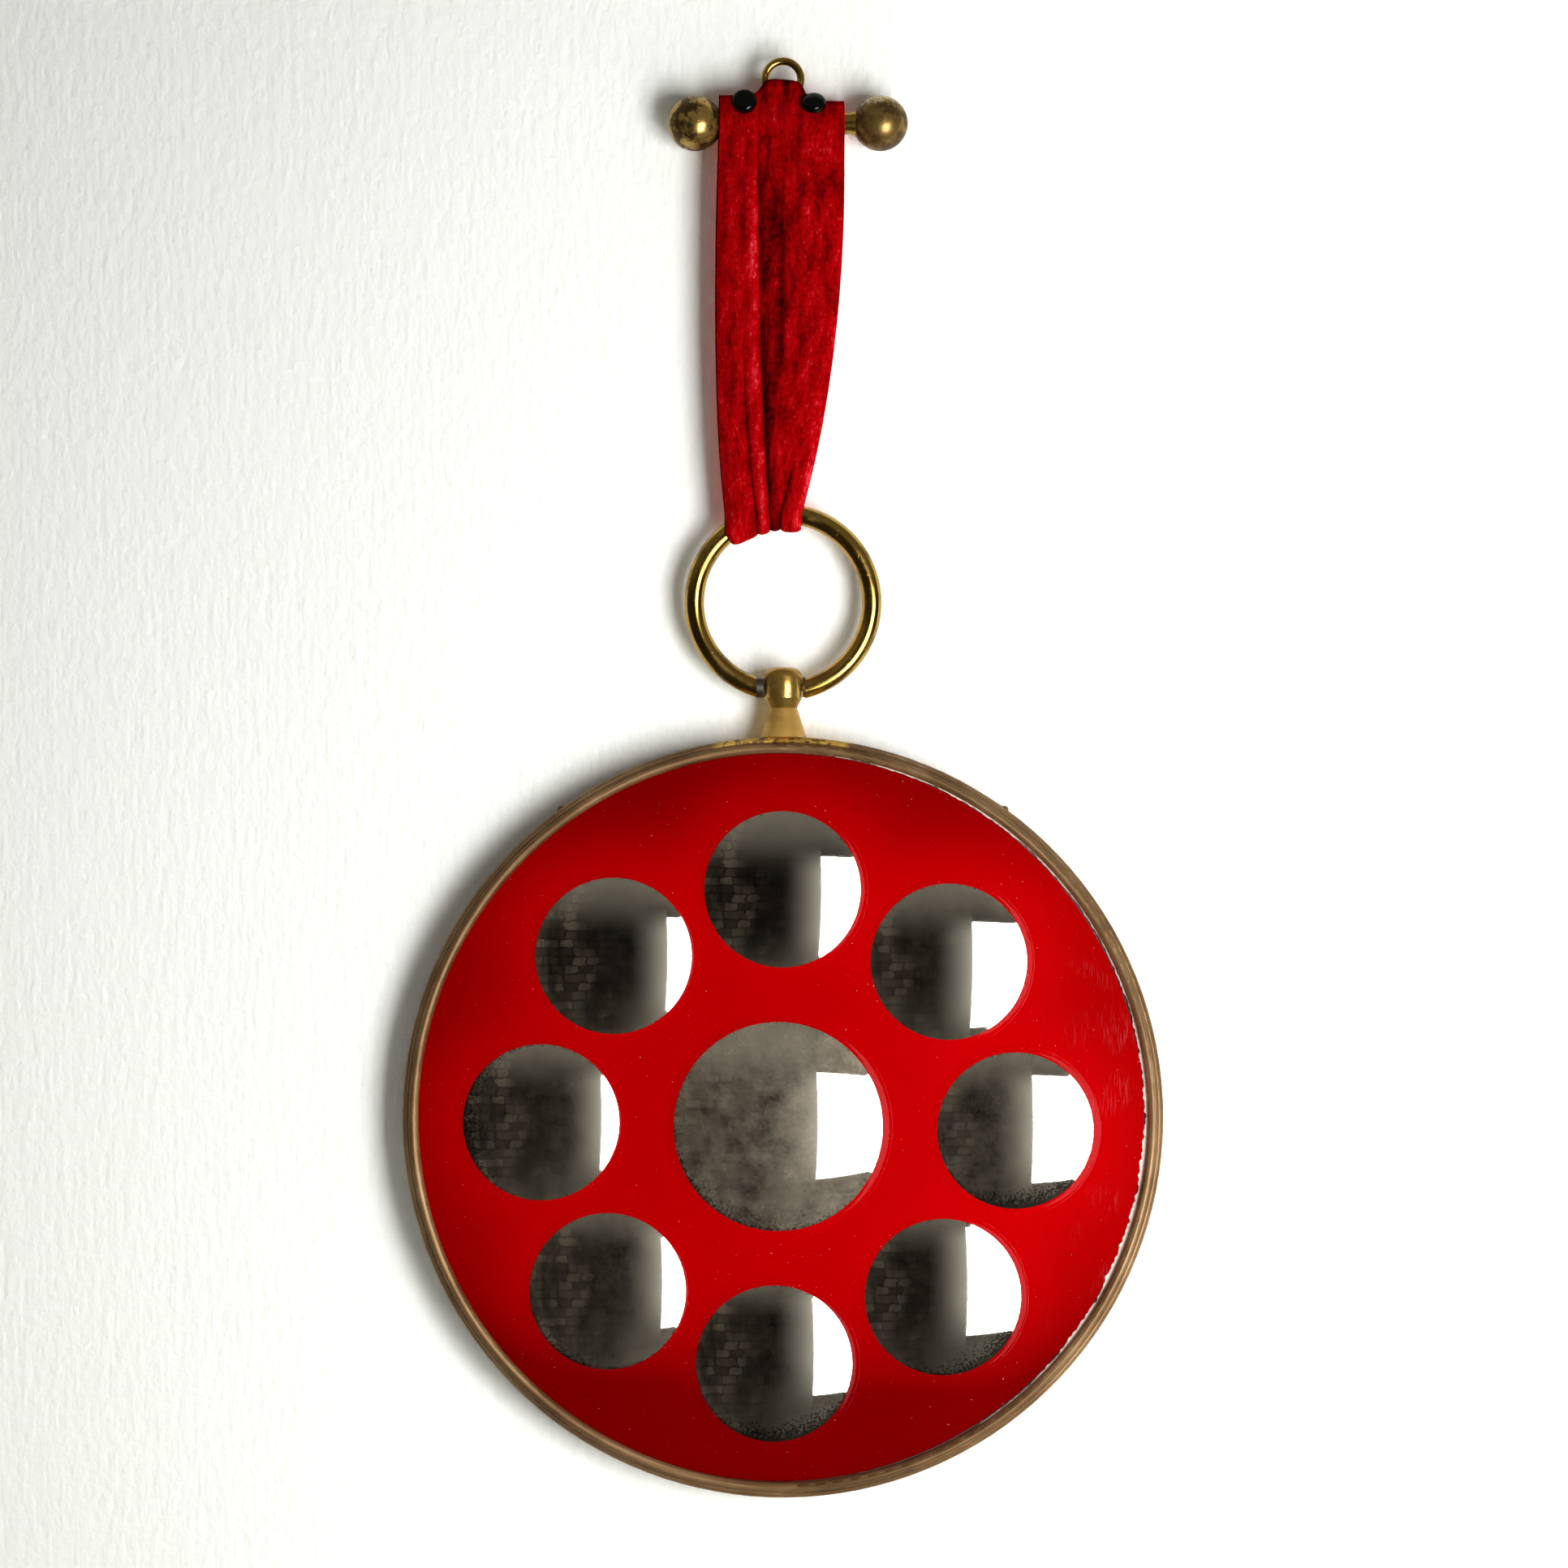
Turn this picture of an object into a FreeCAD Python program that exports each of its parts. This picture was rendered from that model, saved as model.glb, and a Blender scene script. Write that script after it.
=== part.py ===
import FreeCAD, Part
import math
import os
import re

import Sketcher
from FreeCAD import Placement, Rotation, Vector

# A round mirror that hangs from a velvet ribbon: silvered glass bubbles in a red panel, a brass frame
# with a pendant and a bow ring, and above them a short brass rod with ball finials and a hanging eye.
# Millimetres. X is to the viewer's right, Y points at the wall, Z is up. The origin is the eye's centre.

SIZES = (
    # Hanging eye, rod and finials
    ("eye_wire", "3.1", "wire of the hanging eye"),
    ("eye_inside", "11.1", "inside diameter of the hanging eye"),
    ("eye_grip", "6.0", "depth of the eye's shank in the rod"),
    ("rod_drop", "17.5", "eye's centre down to the rod's axis"),
    ("rod_diameter", "8.8", "bare rod"),
    ("rod_length", "50.5", "rod between its collars"),
    ("rod_shift", "1.85", "middle of the rod to the right of the eye"),
    ("collar_diameter", "9.6", "collar between rod and finial"),
    ("collar_width", "1.6", "collar along the rod"),
    ("finial_diameter", "21.8", "ball finial"),
    ("finial_stud", "5.0", "threaded stud that joins rod and finial"),
    ("finial_stud_grip", "7.0", "depth of the stud in the rod and in the ball"),
    # Ribbon and its snap fasteners
    ("ribbon_width", "48.9", "ribbon laid flat across the rod"),
    ("ribbon_shift", "-0.15", "middle of the ribbon to the right of the eye"),
    ("ribbon_thickness", "0.9", "velvet with its lining"),
    ("ribbon_gap", "0.3", "air between the ribbon and what it goes round"),
    ("ribbon_fold", "0.5", "height of the soft folds at the rod"),
    ("gather_width", "28.5", "ribbon where it is gathered above the bow"),
    ("gather_shift", "-6.25", "middle of the gathers to the right of the eye"),
    ("pleat_depth", "1.8", "height of the pleats at the bow"),
    ("header_height", "9.6", "ribbon's top corners above the rod's axis"),
    ("hump_height", "7.0", "rise of the top edge in front of the eye"),
    ("hump_width", "20.7", "width of that rise"),
    ("snap_spacing", "27.3", "between the two snap fasteners"),
    ("snap_shift", "-1.55", "middle of the snaps to the right of the eye"),
    ("snap_height", "8.6", "snaps above the rod's axis"),
    ("snap_cap", "9.9", "diameter of a snap's cap"),
    ("snap_rim", "0.8", "straight rim of the cap"),
    ("snap_rise", "3.4", "whole height of the cap"),
    ("snap_post", "2.4", "post through both layers"),
    ("snap_back", "6.6", "diameter of the disc behind the ribbon"),
    ("snap_back_thickness", "1.0", "that disc"),
    # Bow ring and its pivot
    ("bow_drop", "207.0", "eye's centre down to the bow's centre"),
    ("bow_diameter", "78.0", "outside of the bow ring"),
    ("bow_tube", "7.8", "round bar of the bow ring"),
    ("pivot_pin", "3.2", "pin that the pendant swings on"),
    ("pivot_grip", "4.0", "depth of the pin in each end of the bow"),
    ("sleeve_diameter", "8.4", "steel sleeve on the left of the ball"),
    ("sleeve_width", "2.9", "that sleeve"),
    ("washer_diameter", "8.0", "thin washer on the right of the ball"),
    ("washer_width", "1.2", "that washer"),
    # Pendant
    ("ball_diameter", "15.8", "pendant ball across its belly"),
    ("ball_flats", "14.8", "between the ball's two side faces"),
    ("ball_top", "7.8", "ball's top above the pivot"),
    ("ball_crown", "7.0", "diameter of the ball's flat top"),
    ("ball_shoulder", "4.2", "shoulders above and below the pivot"),
    ("ball_shoulder_diameter", "15.2", "ball at its shoulders"),
    ("ball_bottom", "8.2", "pivot down to the cone"),
    ("neck_diameter", "11.2", "cone's top and ball's foot"),
    ("cone_diameter", "18.4", "cone's base on the frame"),
    ("cone_height", "11.5", "cone"),
    ("pendant_stud", "5.0", "stud through the band and the cone into the ball"),
    ("pendant_stud_grip", "4.8", "depth of that stud in the ball"),
    ("pendant_setback", "12.4", "frame's back to the pendant's axis"),
    # Frame
    ("frame_diameter", "300.0", "outside of the frame"),
    ("band_thickness", "2.0", "side band, and the rounding of its front edge"),
    ("band_depth", "18.0", "side band, from the wall to that rounding"),
    ("bead_width", "4.2", "half round bead inside the band's front edge"),
    ("bead_side", "1.6", "straight foot of the bead"),
    # Glass and its coats
    ("putty_width", "4.5", "putty between the band and the glass"),
    ("glass_shift", "-1.1", "panel to the right of the frame's middle"),
    ("glass_thickness", "3.0", "glass"),
    ("bubble_count", "8", "bubbles around the middle one"),
    ("circle_share", "0.3258", "radius of the circle that they stand on, as a share of the glass"),
    ("bubble_shift", "-1.9", "that circle to the right of the frame's middle"),
    ("bubble_lift", "-3.6", "that circle above the frame's middle"),
    ("bubble_turn", "-1.0", "turn of the circle of bubbles, in degrees to the left"),
    ("outer_share", "0.2146", "silvered part of an outer bubble, as a share of the glass"),
    ("centre_share", "0.2871", "silvered part of the middle bubble, as a share of the glass"),
    ("bubble_sphere", "125.0", "radius of the sphere that all bubbles are blown to"),
    ("flare_radius", "12.0", "hollow round a bubble's foot"),
    ("coat_thickness", "0.3", "silver and lacquer with their varnish"),
    ("coat_clearance", "0.05", "between the glass and its coats"),
    # Backing
    ("board_thickness", "8.0", "plywood backing board"),
    ("seat_clearance", "0.2", "round pieces inside the band"),
    ("bead_clearance", "0.05", "solder between band and bead"),
    ("nail_angle", "36", "nails from the top and from the bottom"),
    ("nail_diameter", "1.5", "frame nail"),
    ("nail_length", "12.0", "nail under its head"),
    ("nail_head", "3.2", "nail's head"),
    ("nail_head_height", "1.4", "nail's head above the band"),
    # Fits
    ("thread_clearance", "0.05", "round a stud, a shank or a nail"),
    ("pivot_clearance", "0.05", "round the pin in the ball"),
    ("side_clearance", "0.15", "beside the ball's side faces"),
    ("overcut", "1.0", "how far a cutting shape runs past the piece"),
)

# Shares of the ribbon's width that its four pleats take, from left to right
PLEAT_SHARES = (0.385, 0.2, 0.19, 0.225)
HANGING_STEPS = 6
SHOULDER_STEPS = 4
STEPS_PER_PLEAT = 4

UPRIGHT = Rotation()
TO_RIGHT = Rotation(Vector(0, 1, 0), 90)
TO_LEFT = Rotation(Vector(0, 1, 0), -90)
LYING = Rotation(Vector(1, 0, 0), 90)
UPWARD = Rotation(Vector(1, 0, 0), -90)

doc = FreeCAD.newDocument("hung_mirror")
sheet = doc.addObject("Spreadsheet::Sheet", "Sizes")
for row, (name, value, meaning) in enumerate(SIZES, start=1):
    sheet.set(f"A{row}", meaning)
    sheet.set(f"B{row}", value)
    sheet.setAlias(f"B{row}", name)
doc.recompute()

SIZE_NAME = re.compile(r"\b(" + "|".join(name for name, value, meaning in SIZES) + r")\b")
pieces = []


def tied(formula):
    """A formula over the size names, as an expression over the sheet."""
    return SIZE_NAME.sub(r"Sizes.\1", formula)


def number(formula):
    """What a formula comes to with the sizes as they are."""
    return float(sheet.evalExpression(tied(formula)))


def locate(item, x="0", y="0", z="0", turn=UPRIGHT):
    """Turns an object and ties its place to formulas."""
    item.Placement = Placement(Vector(), turn)
    for axis, formula in zip("xyz", (x, y, z)):
        item.setExpression("Placement.Base." + axis, tied(formula))
    return item


def primitive(kind, label, **formulas):
    """A basic solid whose sizes are tied to formulas."""
    item = doc.addObject(kind, label)
    for size, formula in formulas.items():
        item.setExpression(size, tied(formula))
    return item


def cylinder(label, diameter, length, **place):
    """A round bar from its place along its own Z axis."""
    bar = primitive("Part::Cylinder", label, Radius=f"({diameter}) / 2", Height=length)
    return locate(bar, **place)


def fuse(label, *items):
    """One solid out of several."""
    joined = doc.addObject("Part::MultiFuse", label)
    joined.Shapes = list(items)
    return joined


def cut(label, base, *tools):
    """The base with the tools taken out of it."""
    result = doc.addObject("Part::Cut", label)
    result.Base = base
    result.Tool = tools[0] if len(tools) == 1 else fuse(label + "_cuts", *tools)
    return result


def group(label, *items):
    """Separate solids kept together as one sub-part."""
    bundle = doc.addObject("Part::Compound", label)
    bundle.Links = list(items)
    return bundle


def tube(label, diameter, bore, length, **place):
    """A washer, collar or hoop along its own Z axis."""
    bar = cylinder(label + "_bar", diameter, length)
    hole = cylinder(label + "_bore", bore, f"{length} + 2 * overcut", z="-overcut")
    return locate(cut(label, bar, hole), **place)


def keep(item):
    """Counts an object as a finished sub-part."""
    pieces.append(item)
    return item


def rounded_run(start, end, radius):
    """Arc between two corners; a positive radius bulges to the right of the way, a negative to the left."""
    along = end - start
    left = Vector(-along.y, along.x, 0).normalize()
    reach = math.sqrt(radius ** 2 - (along.Length / 2) ** 2)
    middle = start + along * 0.5 + left * math.copysign(reach, radius)
    first, last = (start, end) if radius > 0 else (end, start)
    angles = [math.atan2(point.y - middle.y, point.x - middle.x) for point in (first, last)]
    return Part.ArcOfCircle(Part.Circle(middle, Vector(0, 0, 1), abs(radius)), *angles)


def outline(body, plane_role, corners, axis_at="0"):
    """Closed outline on one of the body's own planes, all of its corners and radii tied to formulas.

    A corner is (across, up) or (across, up, radius of the run that leaves it). The run goes round
    counter-clockwise. Where the piece isn't turned about the plane's upright axis, axis_at says how
    far to the side its own axis stands, and the corners are counted from there.
    """
    sketch = body.newObject("Sketcher::SketchObject", body.Name + "_outline")
    plane = next(item for item in body.Origin.OriginFeatures if item.Role == plane_role)
    sketch.AttachmentSupport = (plane, [""])
    sketch.MapMode = "FlatFace"
    places = [(f"{axis_at} + {corner[0]}" if axis_at != "0" else corner[0], corner[1]) for corner in corners]
    points = [Vector(number(across), number(up), 0) for across, up in places]
    ends = []
    for index, corner in enumerate(corners):
        start, end = points[index], points[(index + 1) % len(points)]
        radius = number(corner[2]) if len(corner) > 2 else 0.0
        run = rounded_run(start, end, radius) if radius else Part.LineSegment(start, end)
        sketch.addGeometry(run)
        ends.append((2, 1) if radius < 0 else (1, 2))
        if radius:
            size = f"abs({corner[2]})"
            tie(sketch, Sketcher.Constraint("Radius", index, abs(radius)), size)
    for index, (across, up) in enumerate(places):
        before = (index - 1) % len(points)
        point = (index, ends[index][0])
        sketch.addConstraint(Sketcher.Constraint("Coincident", before, ends[before][1], *point))
        for way, axis, formula in (("DistanceX", -2, across), ("DistanceY", -1, up)):
            if formula == "0":
                sketch.addConstraint(Sketcher.Constraint("PointOnObject", *point, axis))
            else:
                tie(sketch, Sketcher.Constraint(way, -1, 1, *point, number(formula)), formula)
    if axis_at != "0":
        foot = Vector(number(axis_at), 0, 0)
        axis_line = sketch.addGeometry(Part.LineSegment(foot, foot + Vector(0, 1, 0)), True)
        sketch.addConstraint(Sketcher.Constraint("Vertical", axis_line))
        sketch.addConstraint(Sketcher.Constraint("PointOnObject", axis_line, 1, -1))
        tie(sketch, Sketcher.Constraint("DistanceX", -1, 1, axis_line, 1, foot.x), axis_at)
    return sketch


def tie(sketch, constraint, formula):
    """Adds a measured constraint and ties its value to a formula."""
    index = sketch.addConstraint(constraint)
    sketch.setExpression(f"Constraints[{index}]", tied(formula))


def turned(label, corners, plane_role="XZ_Plane", axis_at="0", copies=None):
    """A piece turned from half its outline, and if asked, repeated round the body's Z axis."""
    body = doc.addObject("PartDesign::Body", label)
    sketch = outline(body, plane_role, corners, axis_at)
    turning = body.newObject("PartDesign::Revolution", label + "_turning")
    turning.Profile = sketch
    turning.ReferenceAxis = (sketch, ["V_Axis" if axis_at == "0" else "Axis0"])
    turning.Angle = 360
    body.Tip = turning
    if copies:
        doc.recompute()
        ring = body.newObject("PartDesign::PolarPattern", label + "_ring")
        ring.Originals = [turning]
        ring.Axis = (next(item for item in body.Origin.OriginFeatures if item.Role == "Z_Axis"), [""])
        ring.Angle = 360
        ring.setExpression("Occurrences", tied(copies))
        body.Tip = ring
    return body


# Hanging eye and rod

ROD_HALF = "rod_length / 2"
BALL_TO_FLAT = "sqrt((finial_diameter / 2)^2 - (collar_diameter / 2)^2)"


def build_eye():
    """Closed wire eye with a threaded shank that stands in the rod."""
    ring = primitive("Part::Torus", "eye_ring", Radius1="(eye_inside + eye_wire) / 2", Radius2="eye_wire / 2")
    locate(ring, turn=LYING)
    foot = "(rod_drop - rod_diameter / 2 + eye_grip)"
    shank = cylinder("eye_shank", "eye_wire", f"{foot} - (eye_inside + eye_wire) / 2", z=f"-{foot}")
    keep(fuse("hanging_eye", ring, shank))


def build_rod():
    """Rod with a hole for the eye's shank and one in each end for a finial's stud."""
    bar = cylinder("rod_bar", "rod_diameter", "rod_length", x=f"rod_shift - {ROD_HALF}", turn=TO_RIGHT)
    hole = "finial_stud + 2 * thread_clearance"
    depth = "finial_stud_grip + overcut"
    left_hole = cylinder("rod_left_hole", hole, depth, x=f"rod_shift - {ROD_HALF} - overcut", turn=TO_RIGHT)
    right_hole = cylinder("rod_right_hole", hole, depth, x=f"rod_shift + {ROD_HALF} + overcut", turn=TO_LEFT)
    eye_hole = cylinder("rod_eye_hole", "eye_wire + 2 * thread_clearance", "eye_grip + overcut",
                        z="rod_diameter / 2 - eye_grip")
    locate(keep(cut("hanger_rod", bar, left_hole, right_hole, eye_hole)), z="-rod_drop")


def build_finials():
    """Ball, collar and stud on each end of the rod."""
    studs = []
    for side, sign, turn in (("left", "-", TO_LEFT), ("right", "+", TO_RIGHT)):
        rod_end = f"rod_shift {sign} {ROD_HALF}"
        ball = primitive("Part::Sphere", f"finial_{side}_ball", Radius="finial_diameter / 2",
                         Angle1="-acos(collar_diameter / finial_diameter)")
        hole = cylinder(f"finial_{side}_hole", "finial_stud + 2 * thread_clearance",
                        "finial_stud_grip + overcut", z=f"-{BALL_TO_FLAT} - overcut")
        middle = f"{rod_end} {sign} (collar_width + {BALL_TO_FLAT})"
        locate(keep(cut(f"finial_{side}", ball, hole)), x=middle, z="-rod_drop", turn=turn)
        keep(tube(f"finial_collar_{side}", "collar_diameter", "finial_stud + 2 * thread_clearance",
                  "collar_width", x=rod_end, z="-rod_drop", turn=turn))
        studs.append(cylinder(f"finial_stud_{side}", "finial_stud", "2 * finial_stud_grip + collar_width",
                              x=f"{rod_end} - ({sign} finial_stud_grip)", z="-rod_drop", turn=turn))
    keep(group("finial_studs", *studs))


# Ribbon: one strip that goes up in front of the rod and the eye, down behind them and round the bow

LAYER_INSIDE = "(collar_diameter / 2 + ribbon_gap)"
HEADER_INSIDE = "(eye_wire / 2 + ribbon_gap)"
GATHER_INSIDE = "(bow_tube / 2 + ribbon_gap)"
JOIN_ABOVE_BOW = "(bow_diameter / 2 + overcut)"


def pleat_edges(left, right):
    """Places of the pleats' edges between the ribbon's left and right edge."""
    edges = [left]
    for share in PLEAT_SHARES:
        edges.append(edges[-1] + share * (right - left))
    return edges


def scallops(edges, depth, ridge, height):
    """Row of arcs, one for each pleat, that bulge away from the middle of the ribbon."""
    bulge = depth + math.copysign(ridge, depth)
    arcs = []
    for start, end in zip(edges, edges[1:]):
        crest = Vector((start + end) / 2, bulge, height)
        arcs.append(Part.Arc(Vector(start, depth, height), crest, Vector(end, depth, height)).toShape())
    return arcs


def layer_section(side, height, edges, inside, outside, ridge):
    """Level cut through one layer: two rows of arcs and the two selvedges."""
    outer_row = scallops(edges, side * outside, ridge, height)
    inner_row = scallops(edges, side * inside, ridge, height)
    selvedges = [
        Part.LineSegment(Vector(edge, side * outside, height), Vector(edge, side * inside, height)).toShape()
        for edge in (edges[0], edges[-1])
    ]
    return Part.Wire(Part.__sortEdges__(outer_row + inner_row + selvedges))


def layer_solid(side, top):
    """One hanging layer from the bow up to a height above the rod's axis, as a ruled loft."""
    half, shift = number("ribbon_width / 2"), number("ribbon_shift")
    gather_half, gather_shift = number("gather_width / 2"), number("gather_shift")
    thickness, fold = number("ribbon_thickness"), number("ribbon_fold")
    inside, gather_inside = number(LAYER_INSIDE), number(GATHER_INSIDE)
    header_inside = number(HEADER_INSIDE)
    fall = number(f"bow_drop - {JOIN_ABOVE_BOW} - rod_drop")
    sections = []
    for step in range(HANGING_STEPS, 0, -1):
        share = step / HANGING_STEPS
        left = shift - half + share ** 2 * (gather_shift - gather_half - shift + half)
        right = shift + half + share ** 2 * (gather_shift + gather_half - shift - half)
        depth = inside + share * (gather_inside - inside)
        ridge = fold + share ** 2 * (number("pleat_depth") - fold)
        edges = pleat_edges(left, right)
        sections.append(layer_section(side, -share * fall, edges, depth, depth + thickness, ridge))
    edges = pleat_edges(shift - half, shift + half)
    shoulder = math.sqrt((inside + thickness) ** 2 - (header_inside + thickness) ** 2)
    heights = [shoulder * step / SHOULDER_STEPS for step in range(SHOULDER_STEPS + 1)] + [top]
    for height in heights:
        depth = max(header_inside, math.sqrt(max(inside ** 2 - height ** 2, 0.0)))
        reach = max(header_inside + thickness, math.sqrt(max((inside + thickness) ** 2 - height ** 2, 0.0)))
        ridge = fold * (1 - height / top / 2)
        sections.append(layer_section(side, height, edges, depth, reach, ridge))
    solid = Part.makeLoft(sections, True, True)
    if solid.Volume < 0:
        solid.reverse()
    return solid


def header_outline(top):
    """Front view of the ribbon, with the rise of its top edge in front of the eye, as a deep block."""
    margin = number("ribbon_width")
    depth = number("collar_diameter + ribbon_width")
    floor = -number("bow_drop")
    hump_half, hump = number("hump_width / 2"), number("hump_height")
    right_side = ((hump_half, top), (margin, top), (margin, floor))
    left_side = ((-margin, floor), (-margin, top), (-hump_half, top))
    corners = [Vector(x, -depth, z) for x, z in right_side + left_side]
    edges = [Part.LineSegment(a, b).toShape() for a, b in zip(corners, corners[1:])]
    edges.append(Part.Arc(corners[-1], Vector(0, -depth, top + hump), corners[0]).toShape())
    return Part.Face(Part.Wire(edges)).extrude(Vector(0, 2 * depth, 0))


def snap_places():
    """Left and right place of the snap fasteners."""
    half, shift = number("snap_spacing / 2"), number("snap_shift")
    return (("left", shift - half), ("right", shift + half))


def snap_hole(x):
    """Hole for a snap's post through both layers."""
    depth = number("collar_diameter")
    start = Vector(x, -depth, number("snap_height"))
    return Part.makeCylinder(number("snap_post / 2 + thread_clearance"), 2 * depth, start, Vector(0, 1, 0))


def build_layers():
    """Front layer with its raised top edge, and plain back layer, both pierced for the snaps."""
    top = number("header_height")
    holes = Part.makeCompound([snap_hole(x) for side, x in snap_places()])
    front = layer_solid(-1, top + number("hump_height")).common(header_outline(top))
    back = layer_solid(1, top)
    for label, solid in (("ribbon_front", front), ("ribbon_back", back)):
        layer = doc.addObject("Part::Feature", label)
        layer.Shape = solid.cut(holes).Solids[0]
        layer.Placement = Placement(Vector(0, 0, -number("rod_drop")), UPRIGHT)
        keep(layer)


def loop_section(x, ridge):
    """Upright cut through the loop: a U round the bow's bar, which hugs the bow's inner edge."""
    top = number(JOIN_ABOVE_BOW)
    inside = number(GATHER_INSIDE) + ridge
    outside = inside + number("ribbon_thickness")
    middle = math.sqrt(number("bow_diameter / 2 - bow_tube") ** 2 - x ** 2) + number("bow_tube / 2")
    edges = []
    for half in (outside, inside):
        left_top, left = Vector(x, -half, top), Vector(x, -half, middle)
        right_top, right = Vector(x, half, top), Vector(x, half, middle)
        bottom = Vector(x, 0, middle - half)
        lean = half * math.sqrt(0.5)
        edges.append(Part.LineSegment(left_top, left).toShape())
        edges.append(Part.Arc(left, Vector(x, -lean, middle - lean), bottom).toShape())
        edges.append(Part.Arc(bottom, Vector(x, lean, middle - lean), right).toShape())
        edges.append(Part.LineSegment(right, right_top).toShape())
    for side in (-1, 1):
        rim_outer, rim_inner = Vector(x, side * outside, top), Vector(x, side * inside, top)
        edges.append(Part.LineSegment(rim_outer, rim_inner).toShape())
    return Part.Wire(Part.__sortEdges__(edges))


def build_loop():
    """Gathered bottom of the ribbon that carries the bow, pleat by pleat."""
    half, shift = number("gather_width / 2"), number("gather_shift")
    depth = number("pleat_depth")
    edges = pleat_edges(shift - half, shift + half)
    sections = [loop_section(edges[0], 0.0)]
    for start, end in zip(edges, edges[1:]):
        for step in range(1, STEPS_PER_PLEAT + 1):
            share = step / STEPS_PER_PLEAT
            sections.append(loop_section(start + share * (end - start), depth * math.sin(math.pi * share)))
    solid = Part.makeLoft(sections, True, True)
    if solid.Volume < 0:
        solid.reverse()
    loop = doc.addObject("Part::Feature", "ribbon_loop")
    loop.Shape = solid
    loop.Placement = Placement(Vector(0, 0, -number("bow_drop")), UPRIGHT)
    keep(loop)


SNAP_SEAT = (f"(sqrt(({LAYER_INSIDE} + ribbon_thickness)^2 - (snap_height - snap_cap / 2)^2)"
             " + ribbon_fold + ribbon_gap)")
HEADER_BACK = f"({HEADER_INSIDE} + ribbon_thickness + ribbon_fold + ribbon_gap)"


def build_snaps():
    """Domed caps with posts in front, and the discs that hold the posts behind."""
    post_end = f"({SNAP_SEAT} + {HEADER_BACK} + snap_back_thickness)"
    dome = "(snap_rise - snap_rim)"
    corners = (
        ("0", f"-{post_end}"), ("snap_post / 2", f"-{post_end}"), ("snap_post / 2", "0"),
        ("snap_cap / 2", "0"), ("snap_cap / 2", "snap_rim", f"((snap_cap / 2)^2 + {dome}^2) / (2 * {dome})"),
        ("0", "snap_rise"),
    )
    discs = []
    for side, sign in (("left", "-"), ("right", "+")):
        place = f"snap_shift {sign} snap_spacing / 2"
        cap = keep(turned(f"snap_cap_{side}", corners))
        locate(cap, x=place, y=f"-{SNAP_SEAT}", z="snap_height - rod_drop", turn=LYING)
        discs.append(tube(f"snap_back_{side}", "snap_back", "snap_post + 2 * thread_clearance",
                          "snap_back_thickness", x=place, y=HEADER_BACK, z="snap_height - rod_drop",
                          turn=UPWARD))
    keep(group("snap_backs", *discs))


# Bow ring, its pivot and the pendant

BOW_MIDDLE = "((bow_diameter - bow_tube) / 2)"
LEFT_END = "(ball_flats / 2 + side_clearance + sleeve_width)"
RIGHT_END = "(ball_flats / 2 + side_clearance + washer_width)"
PIN_LENGTH = f"{LEFT_END} + {RIGHT_END} + 2 * pivot_grip"
PIVOT_BELOW_BOW = f"sqrt({BOW_MIDDLE}^2 - {LEFT_END}^2)"
PIVOT_DROP = f"(bow_drop + {PIVOT_BELOW_BOW})"


def build_bow():
    """Ring of round bar, open at the ball, with a hole in each end for the pin."""
    ring = primitive("Part::Torus", "bow_whole", Radius1=BOW_MIDDLE, Radius2="bow_tube / 2")
    opening = primitive("Part::Box", "bow_opening", Length=f"{LEFT_END} + {RIGHT_END}",
                        Width="2 * bow_tube", Height="2 * bow_tube")
    locate(opening, x=f"-{LEFT_END}", y=f"-{BOW_MIDDLE} - bow_tube", z="-bow_tube")
    hole = cylinder("bow_pin_hole", "pivot_pin + 2 * thread_clearance", PIN_LENGTH,
                    x=f"-{LEFT_END} - pivot_grip", y=f"-{PIVOT_BELOW_BOW}", turn=TO_RIGHT)
    locate(keep(cut("bow_ring", ring, opening, hole)), z="-bow_drop", turn=LYING)


def build_pivot():
    """Pin through the ball, with the steel sleeve on its left and the thin washer on its right."""
    keep(cylinder("pivot_pin", "pivot_pin", PIN_LENGTH, x=f"-{LEFT_END} - pivot_grip", z=f"-{PIVOT_DROP}",
                  turn=TO_RIGHT))
    bore = "pivot_pin + 2 * thread_clearance"
    keep(tube("pivot_sleeve", "sleeve_diameter", bore, "sleeve_width",
              x=f"-{LEFT_END}", z=f"-{PIVOT_DROP}", turn=TO_RIGHT))
    keep(tube("pivot_washer", "washer_diameter", bore, "washer_width",
              x=f"{RIGHT_END}", z=f"-{PIVOT_DROP}", turn=TO_LEFT))


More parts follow.
